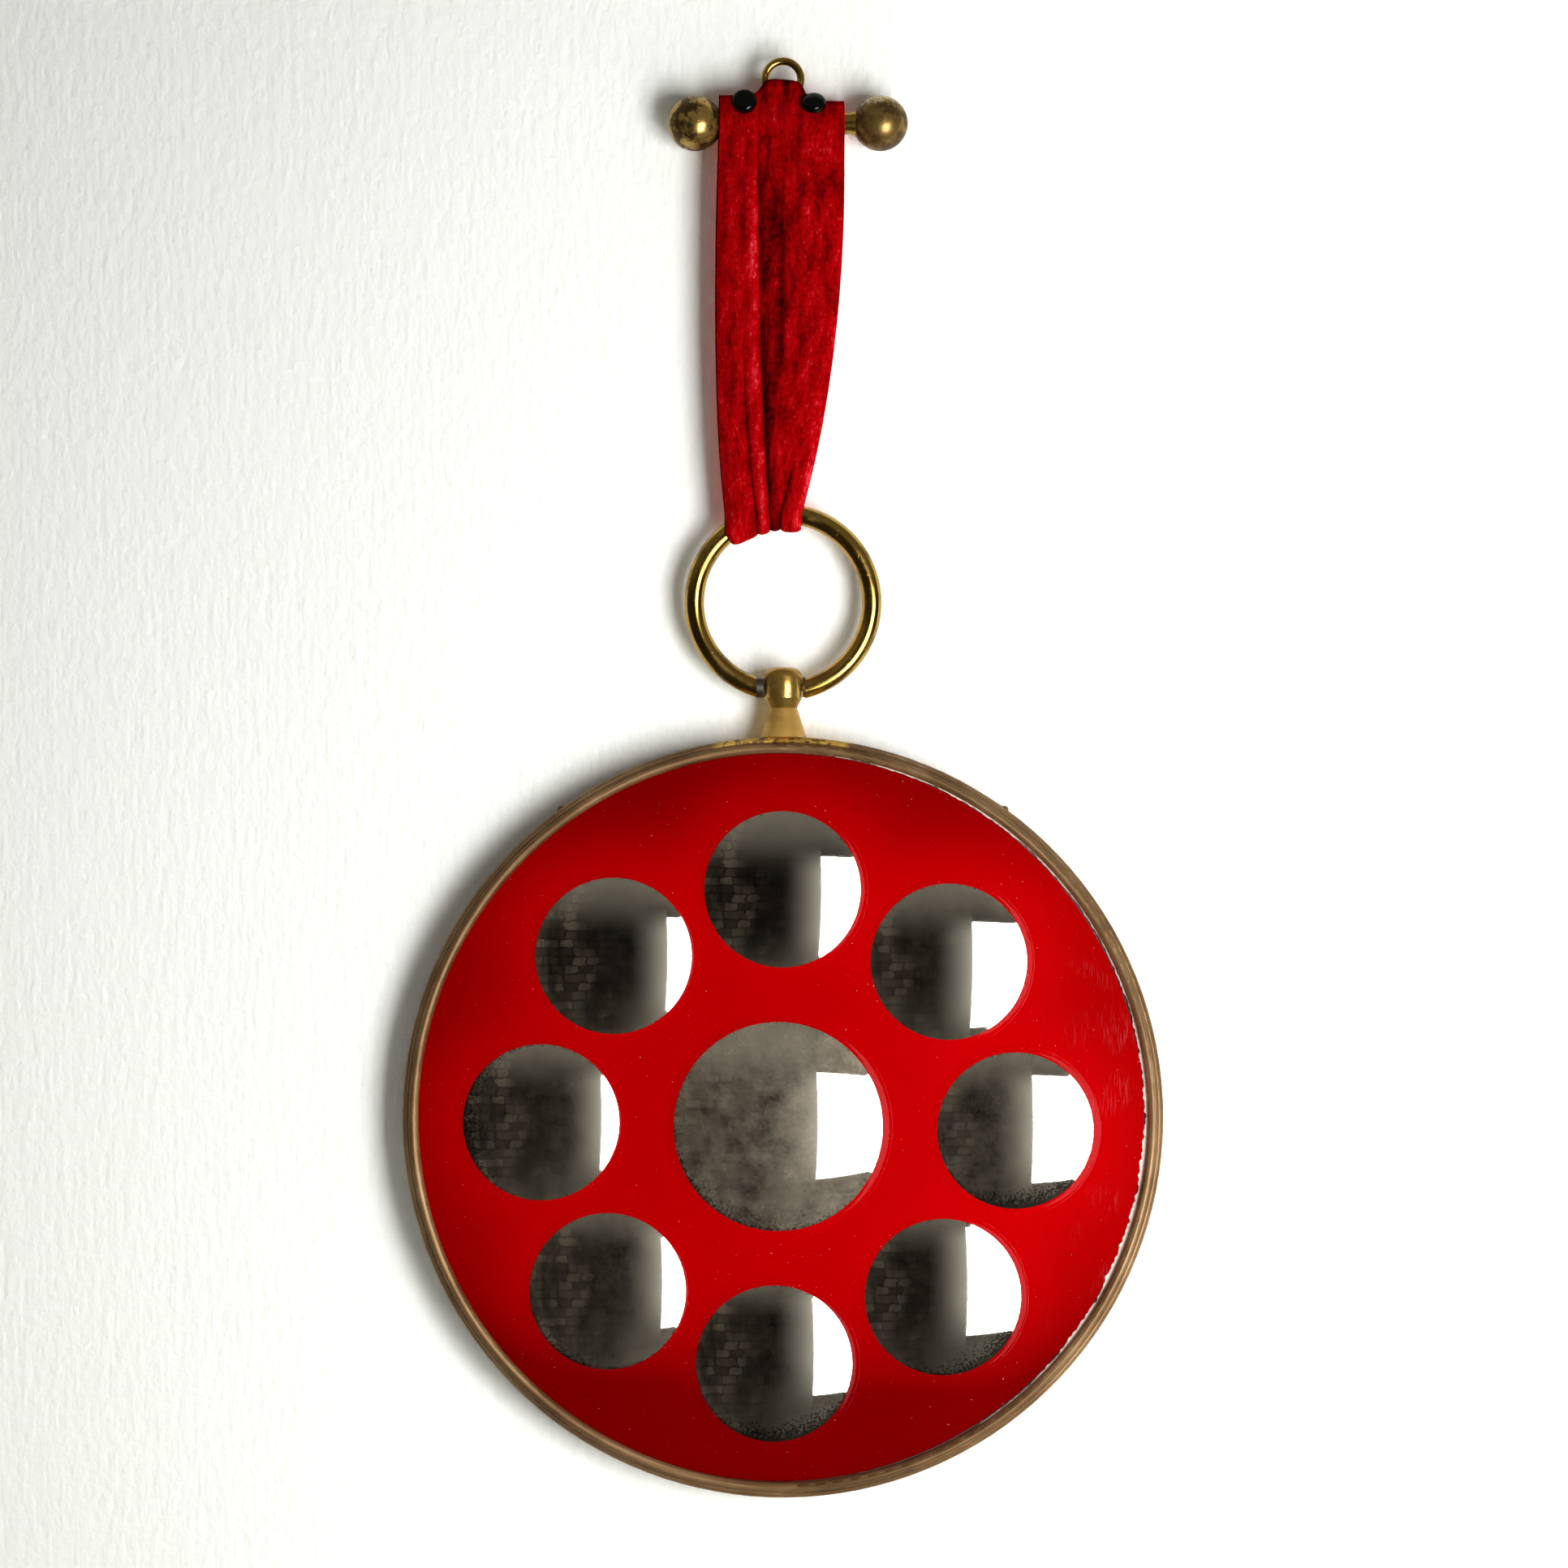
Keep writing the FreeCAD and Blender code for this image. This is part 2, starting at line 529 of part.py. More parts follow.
def build_pendant():
    """Ball that swings on the pin, cone under it, and the stud that holds both on the frame."""
    shoulder = "ball_shoulder_diameter / 2"
    belly = "((ball_diameter - ball_shoulder_diameter) / 2)"
    crown_drop = "(ball_top - ball_shoulder)"
    crown_run = "((ball_shoulder_diameter - ball_crown) / 2)"
    corners = (
        ("0", "-ball_bottom"), ("neck_diameter / 2", "-ball_bottom"),
        (shoulder, "-ball_shoulder", f"(ball_shoulder^2 + {belly}^2) / (2 * {belly})"),
        (shoulder, "ball_shoulder", f"({crown_run}^2 + {crown_drop}^2) / (2 * {crown_drop})"),
        ("ball_crown / 2", "ball_top"), ("0", "ball_top"),
    )
    knob = turned("ball_turned", corners)
    bore = cylinder("ball_pin_bore", "pivot_pin + 2 * pivot_clearance", "2 * ball_diameter",
                    x="-ball_diameter", turn=TO_RIGHT)
    stud_bore = "pendant_stud + 2 * thread_clearance"
    stud_hole = cylinder("ball_stud_hole", stud_bore, "pendant_stud_grip + overcut",
                         z="-ball_bottom - overcut")
    sides = []
    for side, start in (("left", "-ball_flats / 2 - ball_diameter"), ("right", "ball_flats / 2")):
        block = primitive("Part::Box", f"ball_{side}_face", Length="ball_diameter",
                          Width="2 * ball_diameter", Height="2 * ball_diameter")
        sides.append(locate(block, x=start, y="-ball_diameter", z="-ball_diameter"))
    locate(keep(cut("pendant_ball", knob, bore, stud_hole, *sides)), z=f"-{PIVOT_DROP}")
    cone = primitive("Part::Cone", "cone_turned", Radius1="cone_diameter / 2", Radius2="neck_diameter / 2",
                     Height="cone_height")
    cone_hole = cylinder("cone_stud_hole", stud_bore, "cone_height + 2 * overcut", z="-overcut")
    locate(keep(cut("pendant_cone", cone, cone_hole)), z=f"-{PIVOT_DROP} - ball_bottom - cone_height")
    keep(cylinder("pendant_stud", "pendant_stud", "pendant_stud_grip + cone_height + band_thickness",
                  z=f"-{PIVOT_DROP} - ball_bottom - cone_height - band_thickness"))


# Frame and panel, drawn lying on their backs: X to the right, Y up the wall, Z out of the wall

FRAME_DROP = f"({PIVOT_DROP} + ball_bottom + cone_height + frame_diameter / 2)"
BAND_INSIDE = "(frame_diameter - 2 * band_thickness)"
SEATED = f"({BAND_INSIDE} - 2 * seat_clearance)"
GLASS_DIAMETER = f"({BAND_INSIDE} - 2 * putty_width)"
GLASS_BACK = "(band_depth - glass_thickness)"
COAT_BACK = f"({GLASS_BACK} - coat_clearance - coat_thickness)"
NAIL_TURNS = (("upper_left", "nail_angle"), ("lower_left", "180 - nail_angle"),
              ("lower_right", "180 + nail_angle"), ("upper_right", "-nail_angle"))


def hang(item, x="0", up="0", turn=LYING):
    """Lifts a piece that was drawn lying down to its place on the wall."""
    return locate(keep(item), x=x, y="pendant_setback", z=f"{up} - {FRAME_DROP}", turn=turn)


def radial(label, turn, corners):
    """A nail or a nail hole at the board's middle level, turned round the frame from its top."""
    item = turned(label, corners, plane_role="XY_Plane")
    item.Placement = Placement(Vector(), Rotation(Vector(0, 0, 1), number(turn)))
    item.setExpression("Placement.Rotation.Angle", tied(turn))
    item.setExpression("Placement.Base.z", tied("board_thickness / 2"))
    return item


def nail_holes(label):
    """Holes for all the frame nails."""
    hole = "nail_diameter / 2 + thread_clearance"
    depth = "frame_diameter / 2 - nail_length"
    reach = "frame_diameter / 2 + overcut"
    corners = (("0", depth), (hole, depth), (hole, reach), ("0", reach))
    return group(label, *[radial(f"{label}_{name}", turn, corners) for name, turn in NAIL_TURNS])


def build_frame():
    """Side band with a rounded front edge, and the half round bead inside that edge."""
    hoop = turned("band_hoop", (
        (f"{BAND_INSIDE} / 2", "0"), ("frame_diameter / 2", "0"),
        ("frame_diameter / 2", "band_depth", "band_thickness"),
        (f"{BAND_INSIDE} / 2", "band_depth + band_thickness")))
    stud_hole = cylinder("band_stud_hole", "pendant_stud + 2 * thread_clearance",
                         "band_thickness + 2 * overcut", y=f"{BAND_INSIDE} / 2 - overcut",
                         z="pendant_setback", turn=UPWARD)
    hang(cut("frame_band", hoop, stud_hole, nail_holes("band_nail_holes")))
    outer = f"{BAND_INSIDE} / 2 - bead_clearance"
    foot = "band_depth + bead_side"
    hang(turned("frame_bead", (
        (f"{outer} - bead_width", "band_depth"), (outer, "band_depth"), (outer, foot, "bead_width / 2"),
        (f"{outer} - bead_width / 2", f"{foot} + bead_width / 2", "bead_width / 2"),
        (f"{outer} - bead_width", foot))))


class Bubble:
    """Formulas of one bubble: a spherical cap with a hollow flare round its foot."""

    def __init__(self, silver, axis_at="0", copies=None):
        self.sine = f"({silver} / 2 / bubble_sphere)"
        self.cosine = f"sqrt(1 - {self.sine}^2)"
        self.centre = f"(band_depth + flare_radius * (1 - {self.cosine}) - bubble_sphere * {self.cosine})"
        self.foot = f"({silver} / 2 + flare_radius * {self.sine})"
        self.axis_at = axis_at
        self.copies = copies

    def rim(self, depth):
        """Corner where cap and flare meet, at a depth under the glass's front."""
        ball = f"(bubble_sphere - {depth})"
        return (f"{ball} * {self.sine}", f"{self.centre} + {ball} * {self.cosine}")

    def crown(self, depth):
        """Highest point of the cap at that depth."""
        return ("0", f"{self.centre} + bubble_sphere - {depth}")

    def turned(self, label, corners):
        """Solid of revolution about the bubble's axis, repeated where the bubble is."""
        return turned(label, corners, axis_at=self.axis_at, copies=self.copies)

    def plug(self, label, depth, base):
        """Solid under the surface at that depth, down to a base level."""
        return self.turned(label, (
            ("0", base), (self.foot, base),
            (self.foot, f"band_depth - {depth}", f"-(flare_radius + {depth})"),
            (*self.rim(depth), f"bubble_sphere - {depth}"), self.crown(depth)))

    def cap(self, label, front, back):
        """Thin cap between two depths, inside the rim."""
        return self.turned(label, (
            (*self.crown(back), f"-(bubble_sphere - {back})"), self.rim(back),
            (*self.rim(front), f"bubble_sphere - {front}"), self.crown(front)))

    def flare(self, label, front, back):
        """Thin flare between two depths, outside the rim."""
        return self.turned(label, (
            (*self.rim(back), f"flare_radius + {back}"), (self.foot, f"band_depth - {back}"),
            (self.foot, f"band_depth - {front}", f"-(flare_radius + {front})"), self.rim(front)))


CENTRE_BUBBLE = Bubble(f"({GLASS_DIAMETER} * centre_share)")
OUTER_BUBBLES = Bubble(f"({GLASS_DIAMETER} * outer_share)", axis_at=f"{GLASS_DIAMETER} * circle_share",
                       copies="bubble_count")
COAT_FRONT_DEPTH = "(glass_thickness + coat_clearance)"
COAT_BACK_DEPTH = "(glass_thickness + coat_clearance + coat_thickness)"


def hang_panel(item):
    """Hangs a piece that was drawn about the middle of the bubbles, with their small turn."""
    turn = LYING * Rotation(Vector(0, 0, 1), number("bubble_turn"))
    return hang(item, x="bubble_shift", up="bubble_lift", turn=turn)


def panel_disc(label, level, thickness):
    """Round sheet of the panel's size, seen from the middle of the bubbles."""
    return cylinder(label, GLASS_DIAMETER, thickness, z=level,
                    x="glass_shift - bubble_shift", y="-bubble_lift")


def build_glass():
    """One sheet of glass with its bubbles blown forward, hollow behind."""
    sheet_glass = panel_disc("glass_sheet", GLASS_BACK, "glass_thickness")
    domes, hollows = [], []
    for name, bubble in (("centre", CENTRE_BUBBLE), ("outer", OUTER_BUBBLES)):
        domes.append(bubble.plug(f"glass_{name}_domes", "0", GLASS_BACK))
        hollows.append(bubble.plug(f"glass_{name}_hollows", "glass_thickness", f"{GLASS_BACK} - overcut"))
    hang_panel(cut("glass_panel", fuse("glass_solid", sheet_glass, *domes), *hollows))


def build_coats():
    """Silver on the backs of the bubbles, and red lacquer on the rest of the glass's back."""
    film = panel_disc("lacquer_film", COAT_BACK, "coat_thickness")
    holes = [
        cylinder("lacquer_centre_hole", f"2 * {CENTRE_BUBBLE.foot}", "coat_thickness + 2 * overcut",
                 z=f"{COAT_BACK} - overcut"),
        OUTER_BUBBLES.turned("lacquer_outer_holes", (
            ("0", f"{COAT_BACK} - overcut"), (OUTER_BUBBLES.foot, f"{COAT_BACK} - overcut"),
            (OUTER_BUBBLES.foot, f"{GLASS_BACK} + overcut"), ("0", f"{GLASS_BACK} + overcut"))),
    ]
    flares = []
    for name, bubble in (("centre", CENTRE_BUBBLE), ("outer", OUTER_BUBBLES)):
        flares.append(bubble.flare(f"lacquer_{name}_flares", COAT_FRONT_DEPTH, COAT_BACK_DEPTH))
        hang_panel(bubble.cap(f"{name}_silvering", COAT_FRONT_DEPTH, COAT_BACK_DEPTH))
    hang_panel(fuse("red_lacquer", cut("lacquer_sheet", film, *holes), *flares))


def build_backing():
    """Putty round the glass, packing behind it, the board and the nails that hold the board."""
    putty = cylinder("putty_disc", SEATED, "glass_thickness", z=GLASS_BACK)
    opening = cylinder("putty_opening", f"{GLASS_DIAMETER} + 2 * seat_clearance",
                       "glass_thickness + 2 * overcut", x="glass_shift", z=f"{GLASS_BACK} - overcut")
    hang(cut("glazing_putty", putty, opening))
    hang(group("packing_sheet", cylinder("packing_disc", SEATED, f"{COAT_BACK} - board_thickness",
                                         z="board_thickness")))
    board = cylinder("board_disc", SEATED, "board_thickness")
    hang(cut("backing_board", board, nail_holes("board_nail_holes")))
    point, head = "frame_diameter / 2 - nail_length", "frame_diameter / 2 + nail_head_height"
    corners = (
        ("0", point), ("nail_diameter / 2", point), ("nail_diameter / 2", "frame_diameter / 2"),
        ("nail_head / 2", "frame_diameter / 2",
         "((nail_head / 2)^2 + nail_head_height^2) / (2 * nail_head_height)"), ("0", head),
    )
    hang(group("frame_nails", *[radial(f"nail_{name}", turn, corners) for name, turn in NAIL_TURNS]))


def check(items):
    """Stops where an object failed or a sub-part has no sound solid."""
    failed = [item.Label for item in doc.Objects if {"Invalid", "Error"} & set(item.State)]
    if failed:
        raise RuntimeError("failed objects: " + ", ".join(failed))
    for item in items:
        shape = item.Shape
        if shape.isNull() or not shape.isValid() or not shape.Solids or shape.Volume <= 0:
            raise RuntimeError("no sound solid: " + item.Label)


for build in (build_eye, build_rod, build_finials, build_layers, build_loop, build_snaps, build_bow,
              build_pivot, build_pendant, build_frame, build_glass, build_coats, build_backing):
    build()
doc.recompute()
check(pieces)
os.makedirs("parts", exist_ok=True)
for piece in pieces:
    piece.Shape.exportStep(f"parts/{piece.Label}.step")
    print(piece.Label, len(piece.Shape.Solids), round(piece.Shape.Volume, 1))
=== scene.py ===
import logging
import math
from dataclasses import dataclass
from enum import Enum
from typing import Any, Sequence

import bpy
import numpy as np
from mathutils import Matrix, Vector


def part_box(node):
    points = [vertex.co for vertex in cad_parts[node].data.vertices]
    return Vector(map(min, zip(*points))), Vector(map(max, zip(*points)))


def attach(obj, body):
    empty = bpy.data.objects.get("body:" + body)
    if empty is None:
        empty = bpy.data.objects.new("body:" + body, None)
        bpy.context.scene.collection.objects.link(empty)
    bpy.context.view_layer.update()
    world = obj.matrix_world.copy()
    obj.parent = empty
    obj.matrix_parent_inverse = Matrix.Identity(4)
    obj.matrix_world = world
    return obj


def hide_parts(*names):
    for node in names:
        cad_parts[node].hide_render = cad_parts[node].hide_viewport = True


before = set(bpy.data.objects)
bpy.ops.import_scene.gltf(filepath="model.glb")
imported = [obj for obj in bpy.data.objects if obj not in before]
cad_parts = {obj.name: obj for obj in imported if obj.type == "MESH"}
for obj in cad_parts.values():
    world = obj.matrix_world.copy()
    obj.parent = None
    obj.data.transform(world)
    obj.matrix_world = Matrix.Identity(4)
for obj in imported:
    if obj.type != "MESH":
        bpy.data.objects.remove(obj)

# Short names for types
Material = bpy.types.Material
Node = bpy.types.Node
Piece = bpy.types.Object
Socket = bpy.types.NodeSocket
Tree = bpy.types.NodeTree
Span = tuple[float, float]

# A round mirror with silvered bubbles in a red panel, hung by a velvet ribbon and a bow ring.
# Sizes are in millimetres and become metres when a mesh is made. X is to the viewer's right, Y points
# at the wall, Z is up, and the origin is the middle of the hanging eye.

MM = 0.001
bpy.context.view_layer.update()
LOG = logging.getLogger("hung_mirror")


def linear(colour: str) -> tuple[float, float, float, float]:
    """Turns an sRGB hex colour into linear light with full opacity."""
    shares = [int(colour[start:start + 2], 16) / 255 for start in (1, 3, 5)]
    light = [c / 12.92 if c <= 0.04045 else ((c + 0.055) / 1.055) ** 2.4 for c in shares]
    return (*light, 1.0)


def per_mm(size: float) -> float:
    """Gives the texture scale at which one step of a pattern is this many millimetres."""
    return 1.0 / (size * MM)


def node_box(name: str) -> tuple[np.ndarray, np.ndarray]:
    """Gives a node's lowest and highest corner in millimetres."""
    low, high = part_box(name)
    return np.array(low) / MM, np.array(high) / MM


# Node trees

def join(tree: Tree, node: Node, inputs: dict[str | int, Any]) -> None:
    """Links the inputs that are given as sockets, and sets the others.

    Args:
        tree: the node tree.
        node: the node that gets the inputs.
        inputs: socket name or number, and a value or another node's output.
    """
    for name, value in inputs.items():
        if isinstance(value, Socket):
            tree.links.new(value, node.inputs[name])
        else:
            node.inputs[name].default_value = value


def add(tree: Tree, kind: str, inputs: dict[str | int, Any] | None = None,
        stops: Sequence[tuple[float, str]] = (), **settings: Any) -> Node:
    """Adds one node with its settings and links.

    Args:
        tree: the node tree.
        kind: the node's type, without its leading ShaderNode.
        inputs: values and links for its sockets.
        stops: places and sRGB hex colours of a colour ramp.
        settings: the node's own options.

    Returns:
        The node.
    """
    node = tree.nodes.new("ShaderNode" + kind)
    for name, value in settings.items():
        setattr(node, name, value)
    join(tree, node, inputs or {})
    for index, (place, colour) in enumerate(stops):
        elements = node.color_ramp.elements
        stop = elements[index] if index < 2 else elements.new(place)
        stop.position = place
        stop.color = linear(colour)
    return node


def blank_material(name: str) -> tuple[Material, Tree]:
    """Starts a material with an empty node tree."""
    material = bpy.data.materials.new(name)
    material.use_nodes = True
    material.node_tree.nodes.clear()
    return material, material.node_tree


def object_place(tree: Tree) -> Socket:
    """Gives the place on the object."""
    return add(tree, "TexCoord").outputs["Object"]


def noise(tree: Tree, place: Socket, size: float, detail: float, rough: float = 0.5,
          bend: float = 0.0) -> Socket:
    """Gives a noise from 0 to 1.

    Args:
        tree: the node tree.
        place: where it is read.
        size: millimetres to one step of the pattern.
        detail: how many finer layers it has.
        rough: how strong these are.
        bend: how far the pattern is bent.

    Returns:
        The noise.
    """
    inputs = {"Vector": place, "Scale": per_mm(size), "Detail": detail, "Roughness": rough,
              "Distortion": bend}
    return add(tree, "TexNoise", inputs).outputs["Fac"]


def ranged(tree: Tree, value: Socket, low: Any = 0.0, high: Any = 1.0, to_low: float = 0.0,
           to_high: float = 1.0, **settings: Any) -> Socket:
    """Spreads the values between low and high over a new range, and holds the others at its ends."""
    inputs = {"Value": value, "From Min": low, "From Max": high, "To Min": to_low, "To Max": to_high}
    return add(tree, "MapRange", inputs, **settings).outputs["Result"]


def calc(tree: Tree, operation: str, *values: Any, **settings: Any) -> Socket:
    """Works out one operation on numbers."""
    return add(tree, "Math", dict(enumerate(values)), operation=operation, **settings).outputs[0]


def calc_vector(tree: Tree, operation: str, *values: Any) -> Socket:
    """Works out one operation on vectors."""
    return add(tree, "VectorMath", dict(enumerate(values)), operation=operation).outputs[0]


def mixed(tree: Tree, share: Socket, first: str | Socket, second: str | Socket) -> Socket:
    """Mixes two colours, each a socket or an sRGB hex colour."""
    pair = [linear(colour) if isinstance(colour, str) else colour for colour in (first, second)]
    return add(tree, "Mix", {"Factor": share, 6: pair[0], 7: pair[1]}, data_type="RGBA").outputs[2]


def dented(tree: Tree, height: Socket, strength: float, depth: float, **settings: Any) -> Socket:
    """Gives the normals of a relief this many millimetres deep."""
    inputs = {"Height": height, "Strength": strength, "Distance": depth * MM}
    return add(tree, "Bump", inputs, **settings).outputs["Normal"]


# Surfaces

def grid_faces(rows: int, columns: int, is_closed: bool = False) -> np.ndarray:
    """Gives the corner numbers of the quads of a grid that is counted row by row.

    Args:
        rows: points from the first row to the last.
        columns: points in a row.
        is_closed: whether rows and columns both close on themselves, as on a ring.

    Returns:
        One line of four corners for each quad.
    """
    index = np.arange(rows * columns).reshape(rows, columns)
    right = np.roll(index, -1, axis=1)
    quads = np.stack([index, right, np.roll(right, -1, axis=0), np.roll(index, -1, axis=0)], axis=-1)
    return (quads if is_closed else quads[:-1, :-1]).reshape(-1, 4)


def disc_grid(rings: int) -> tuple[np.ndarray, np.ndarray]:
    """Lays a square grid on a disc so that its square rings become circles and no pole is left.

    A point (u, v) of the square lies on the ring of the larger of |u| and |v|, and turns by an eighth
    of a circle from the middle of a side to its end.

    Args:
        rings: rings round the middle point.

    Returns:
        Each point's ring number and its angle from the X axis.
    """
    u, v = np.meshgrid(np.arange(-rings, rings + 1.0), np.arange(-rings, rings + 1.0))
    ring = np.maximum(np.abs(u), np.abs(v))
    safe_u = np.where(u == 0, 1.0, u)
    safe_v = np.where(v == 0, 1.0, v)
    beside = np.arctan2(0.0, u) + np.where(u == 0, 0.0, np.pi / 4 * v / safe_u)
    above = np.copysign(np.pi / 2, v) - np.where(v == 0, 0.0, np.pi / 4 * u / safe_v)
    return ring, np.where(np.abs(u) >= np.abs(v), beside, above)


def smooth(low: float, high: float, value: np.ndarray) -> np.ndarray:
    """Rises smoothly from 0 at the low value to 1 at the high one."""
    share = np.clip((value - low) / (high - low), 0.0, 1.0)
    return share * share * (3 - 2 * share)


def ripple(across: np.ndarray, along: np.ndarray, lengths: Sequence[float]) -> np.ndarray:
    """Sums slanting waves of the given lengths into an even, irregular ripple between about -1 and 1."""
    total = np.zeros(np.broadcast(across, along).shape)
    for index, length in enumerate(lengths):
        slant = 0.9 + 2.4 * index
        way = across * np.cos(slant) + along * np.sin(slant)
        total = total + np.sin(2 * np.pi / length * way + 1.7 * index)
    return total / len(lengths)


def make_piece(name: str, points: np.ndarray, faces: np.ndarray, materials: Sequence[Material],
               body: str, marks: dict[str, np.ndarray] | None = None,
               cloth: np.ndarray | None = None, shares: np.ndarray | None = None) -> Piece:
    """Makes a smooth mesh object of a surface and lets it ride on its body.

    Args:
        name: the piece's name.
        points: places in millimetres, one line for each point.
        faces: corner numbers of the quads.
        materials: its finishes.
        body: the body that it moves with.
        marks: named values at the points, for the finishes.
        cloth: places on the flat cloth in millimetres, for the UV map.
        shares: the number of each face's finish, where there are several.

    Returns:
        The object.
    """
    mesh = bpy.data.meshes.new(name)
    mesh.from_pydata(points * MM, [], faces.tolist())
    mesh.shade_smooth()
    for material in materials:
        mesh.materials.append(material)
    for label, values in (marks or {}).items():
        mesh.attributes.new(label, "FLOAT", "POINT").data.foreach_set("value", values.ravel())
    if shares is not None:
        mesh.polygons.foreach_set("material_index", shares.astype(np.int32))
    if cloth is not None:
        corners = np.empty(len(mesh.loops), dtype=np.int32)
        mesh.loops.foreach_get("vertex_index", corners)
        layer = mesh.uv_layers.new(name="cloth")
        layer.data.foreach_set("uv", (cloth[corners] * MM).ravel())
    piece = bpy.data.objects.new(name, mesh)
    bpy.context.scene.collection.objects.link(piece)
    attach(piece, body)
    LOG.info("%s: %d points, %d faces", name, len(points), len(faces))
    return piece


def dress(material: Material, *names: str) -> None:
    """Gives nodes of the frame a finish."""
    for name in names:
        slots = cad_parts[name].material_slots
        if not slots:
            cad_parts[name].data.materials.append(material)
        for slot in slots:
            slot.material = material
        LOG.info("%s: %s", name, material.name)


# Finishes

@dataclass(frozen=True)
class Finish:
    """A finish, which dresses one principled shader."""

    name: str

    def material(self) -> Material:
        """Makes the material."""
        material, tree = blank_material(self.name)
        shader = add(tree, "BsdfPrincipled")
        self.apply(tree, shader)
        add(tree, "OutputMaterial", {"Surface": self.surface(tree, shader)})
        return material

    def apply(self, tree: Tree, shader: Node) -> None:
        """Sets the shader's sockets."""
        raise NotImplementedError

    def surface(self, tree: Tree, shader: Node) -> Socket:
        """Gives what the material shows: the shader alone, unless a finish adds to it."""
        return shader.outputs["BSDF"]


@dataclass(frozen=True)
class AgedBrass(Finish):
    """Turned and polished brass after decades of handling.

    Worn places stay golden and mirror the room, tarnish lies on the rest in soft olive brown clouds, and
    small dark pits break the shine. Above the rubbed level, pale specks show where hands rubbed it.
    """

    bright: str = "#c9a24e"
    dull: str = "#8a6d38"
    pit: str = "#2a1d0a"
    rubbed: str = "#d8c496"
    dull_low: float = 0.42
    dull_high: float = 0.68
    shine: float = 0.16
    tarnish: float = 0.36
    cloud_mm: float = 14.0
    pit_mm: float = 1.6
    pit_level: float = 0.68
    rubbed_level: float = 1000.0
    metal: float = 1.0
    flake_mm: float = 1.8
    rubbed_reach: float = 8.0
    rubbed_gain: float = 0.42
    pit_depth: float = 0.1
    pit_blur: float = 0.05
    pit_strength: float = 0.35
    speck_range: Span = (0.72, 0.78)

    def apply(self, tree: Tree, shader: Node) -> None:
        """Mixes clean metal, tarnish, rubbed specks and pits by their own noises."""
        place = object_place(tree)
        cloud = noise(tree, place, self.cloud_mm, 6.0, 0.62)
        dull = ranged(tree, cloud, self.dull_low, self.dull_high, interpolation_type="SMOOTHSTEP")
        grain = noise(tree, place, self.pit_mm, 3.0, 0.5)
        pits = ranged(tree, grain, self.pit_level, self.pit_level + self.pit_blur)
        metal = mixed(tree, dull, self.bright, self.dull)
        high = add(tree, "SeparateXYZ", {0: place}).outputs["Z"]
        reach = ranged(tree, high, self.rubbed_level * MM, (self.rubbed_level + self.rubbed_reach) * MM,
                       to_high=self.rubbed_gain)
        flake = noise(tree, place, self.flake_mm, 5.0, 0.7)
        bare = calc(tree, "ADD", flake, reach)
        specks = ranged(tree, bare, *self.speck_range)
        worn = mixed(tree, specks, metal, self.rubbed)
        colour = mixed(tree, pits, worn, self.pit)
        rough = ranged(tree, dull, to_low=self.shine, to_high=self.tarnish)
        dent = dented(tree, pits, self.pit_strength, self.pit_depth, invert=True)
        join(tree, shader, {"Base Color": colour, "Metallic": self.metal, "Roughness": rough,
                            "Normal": dent})


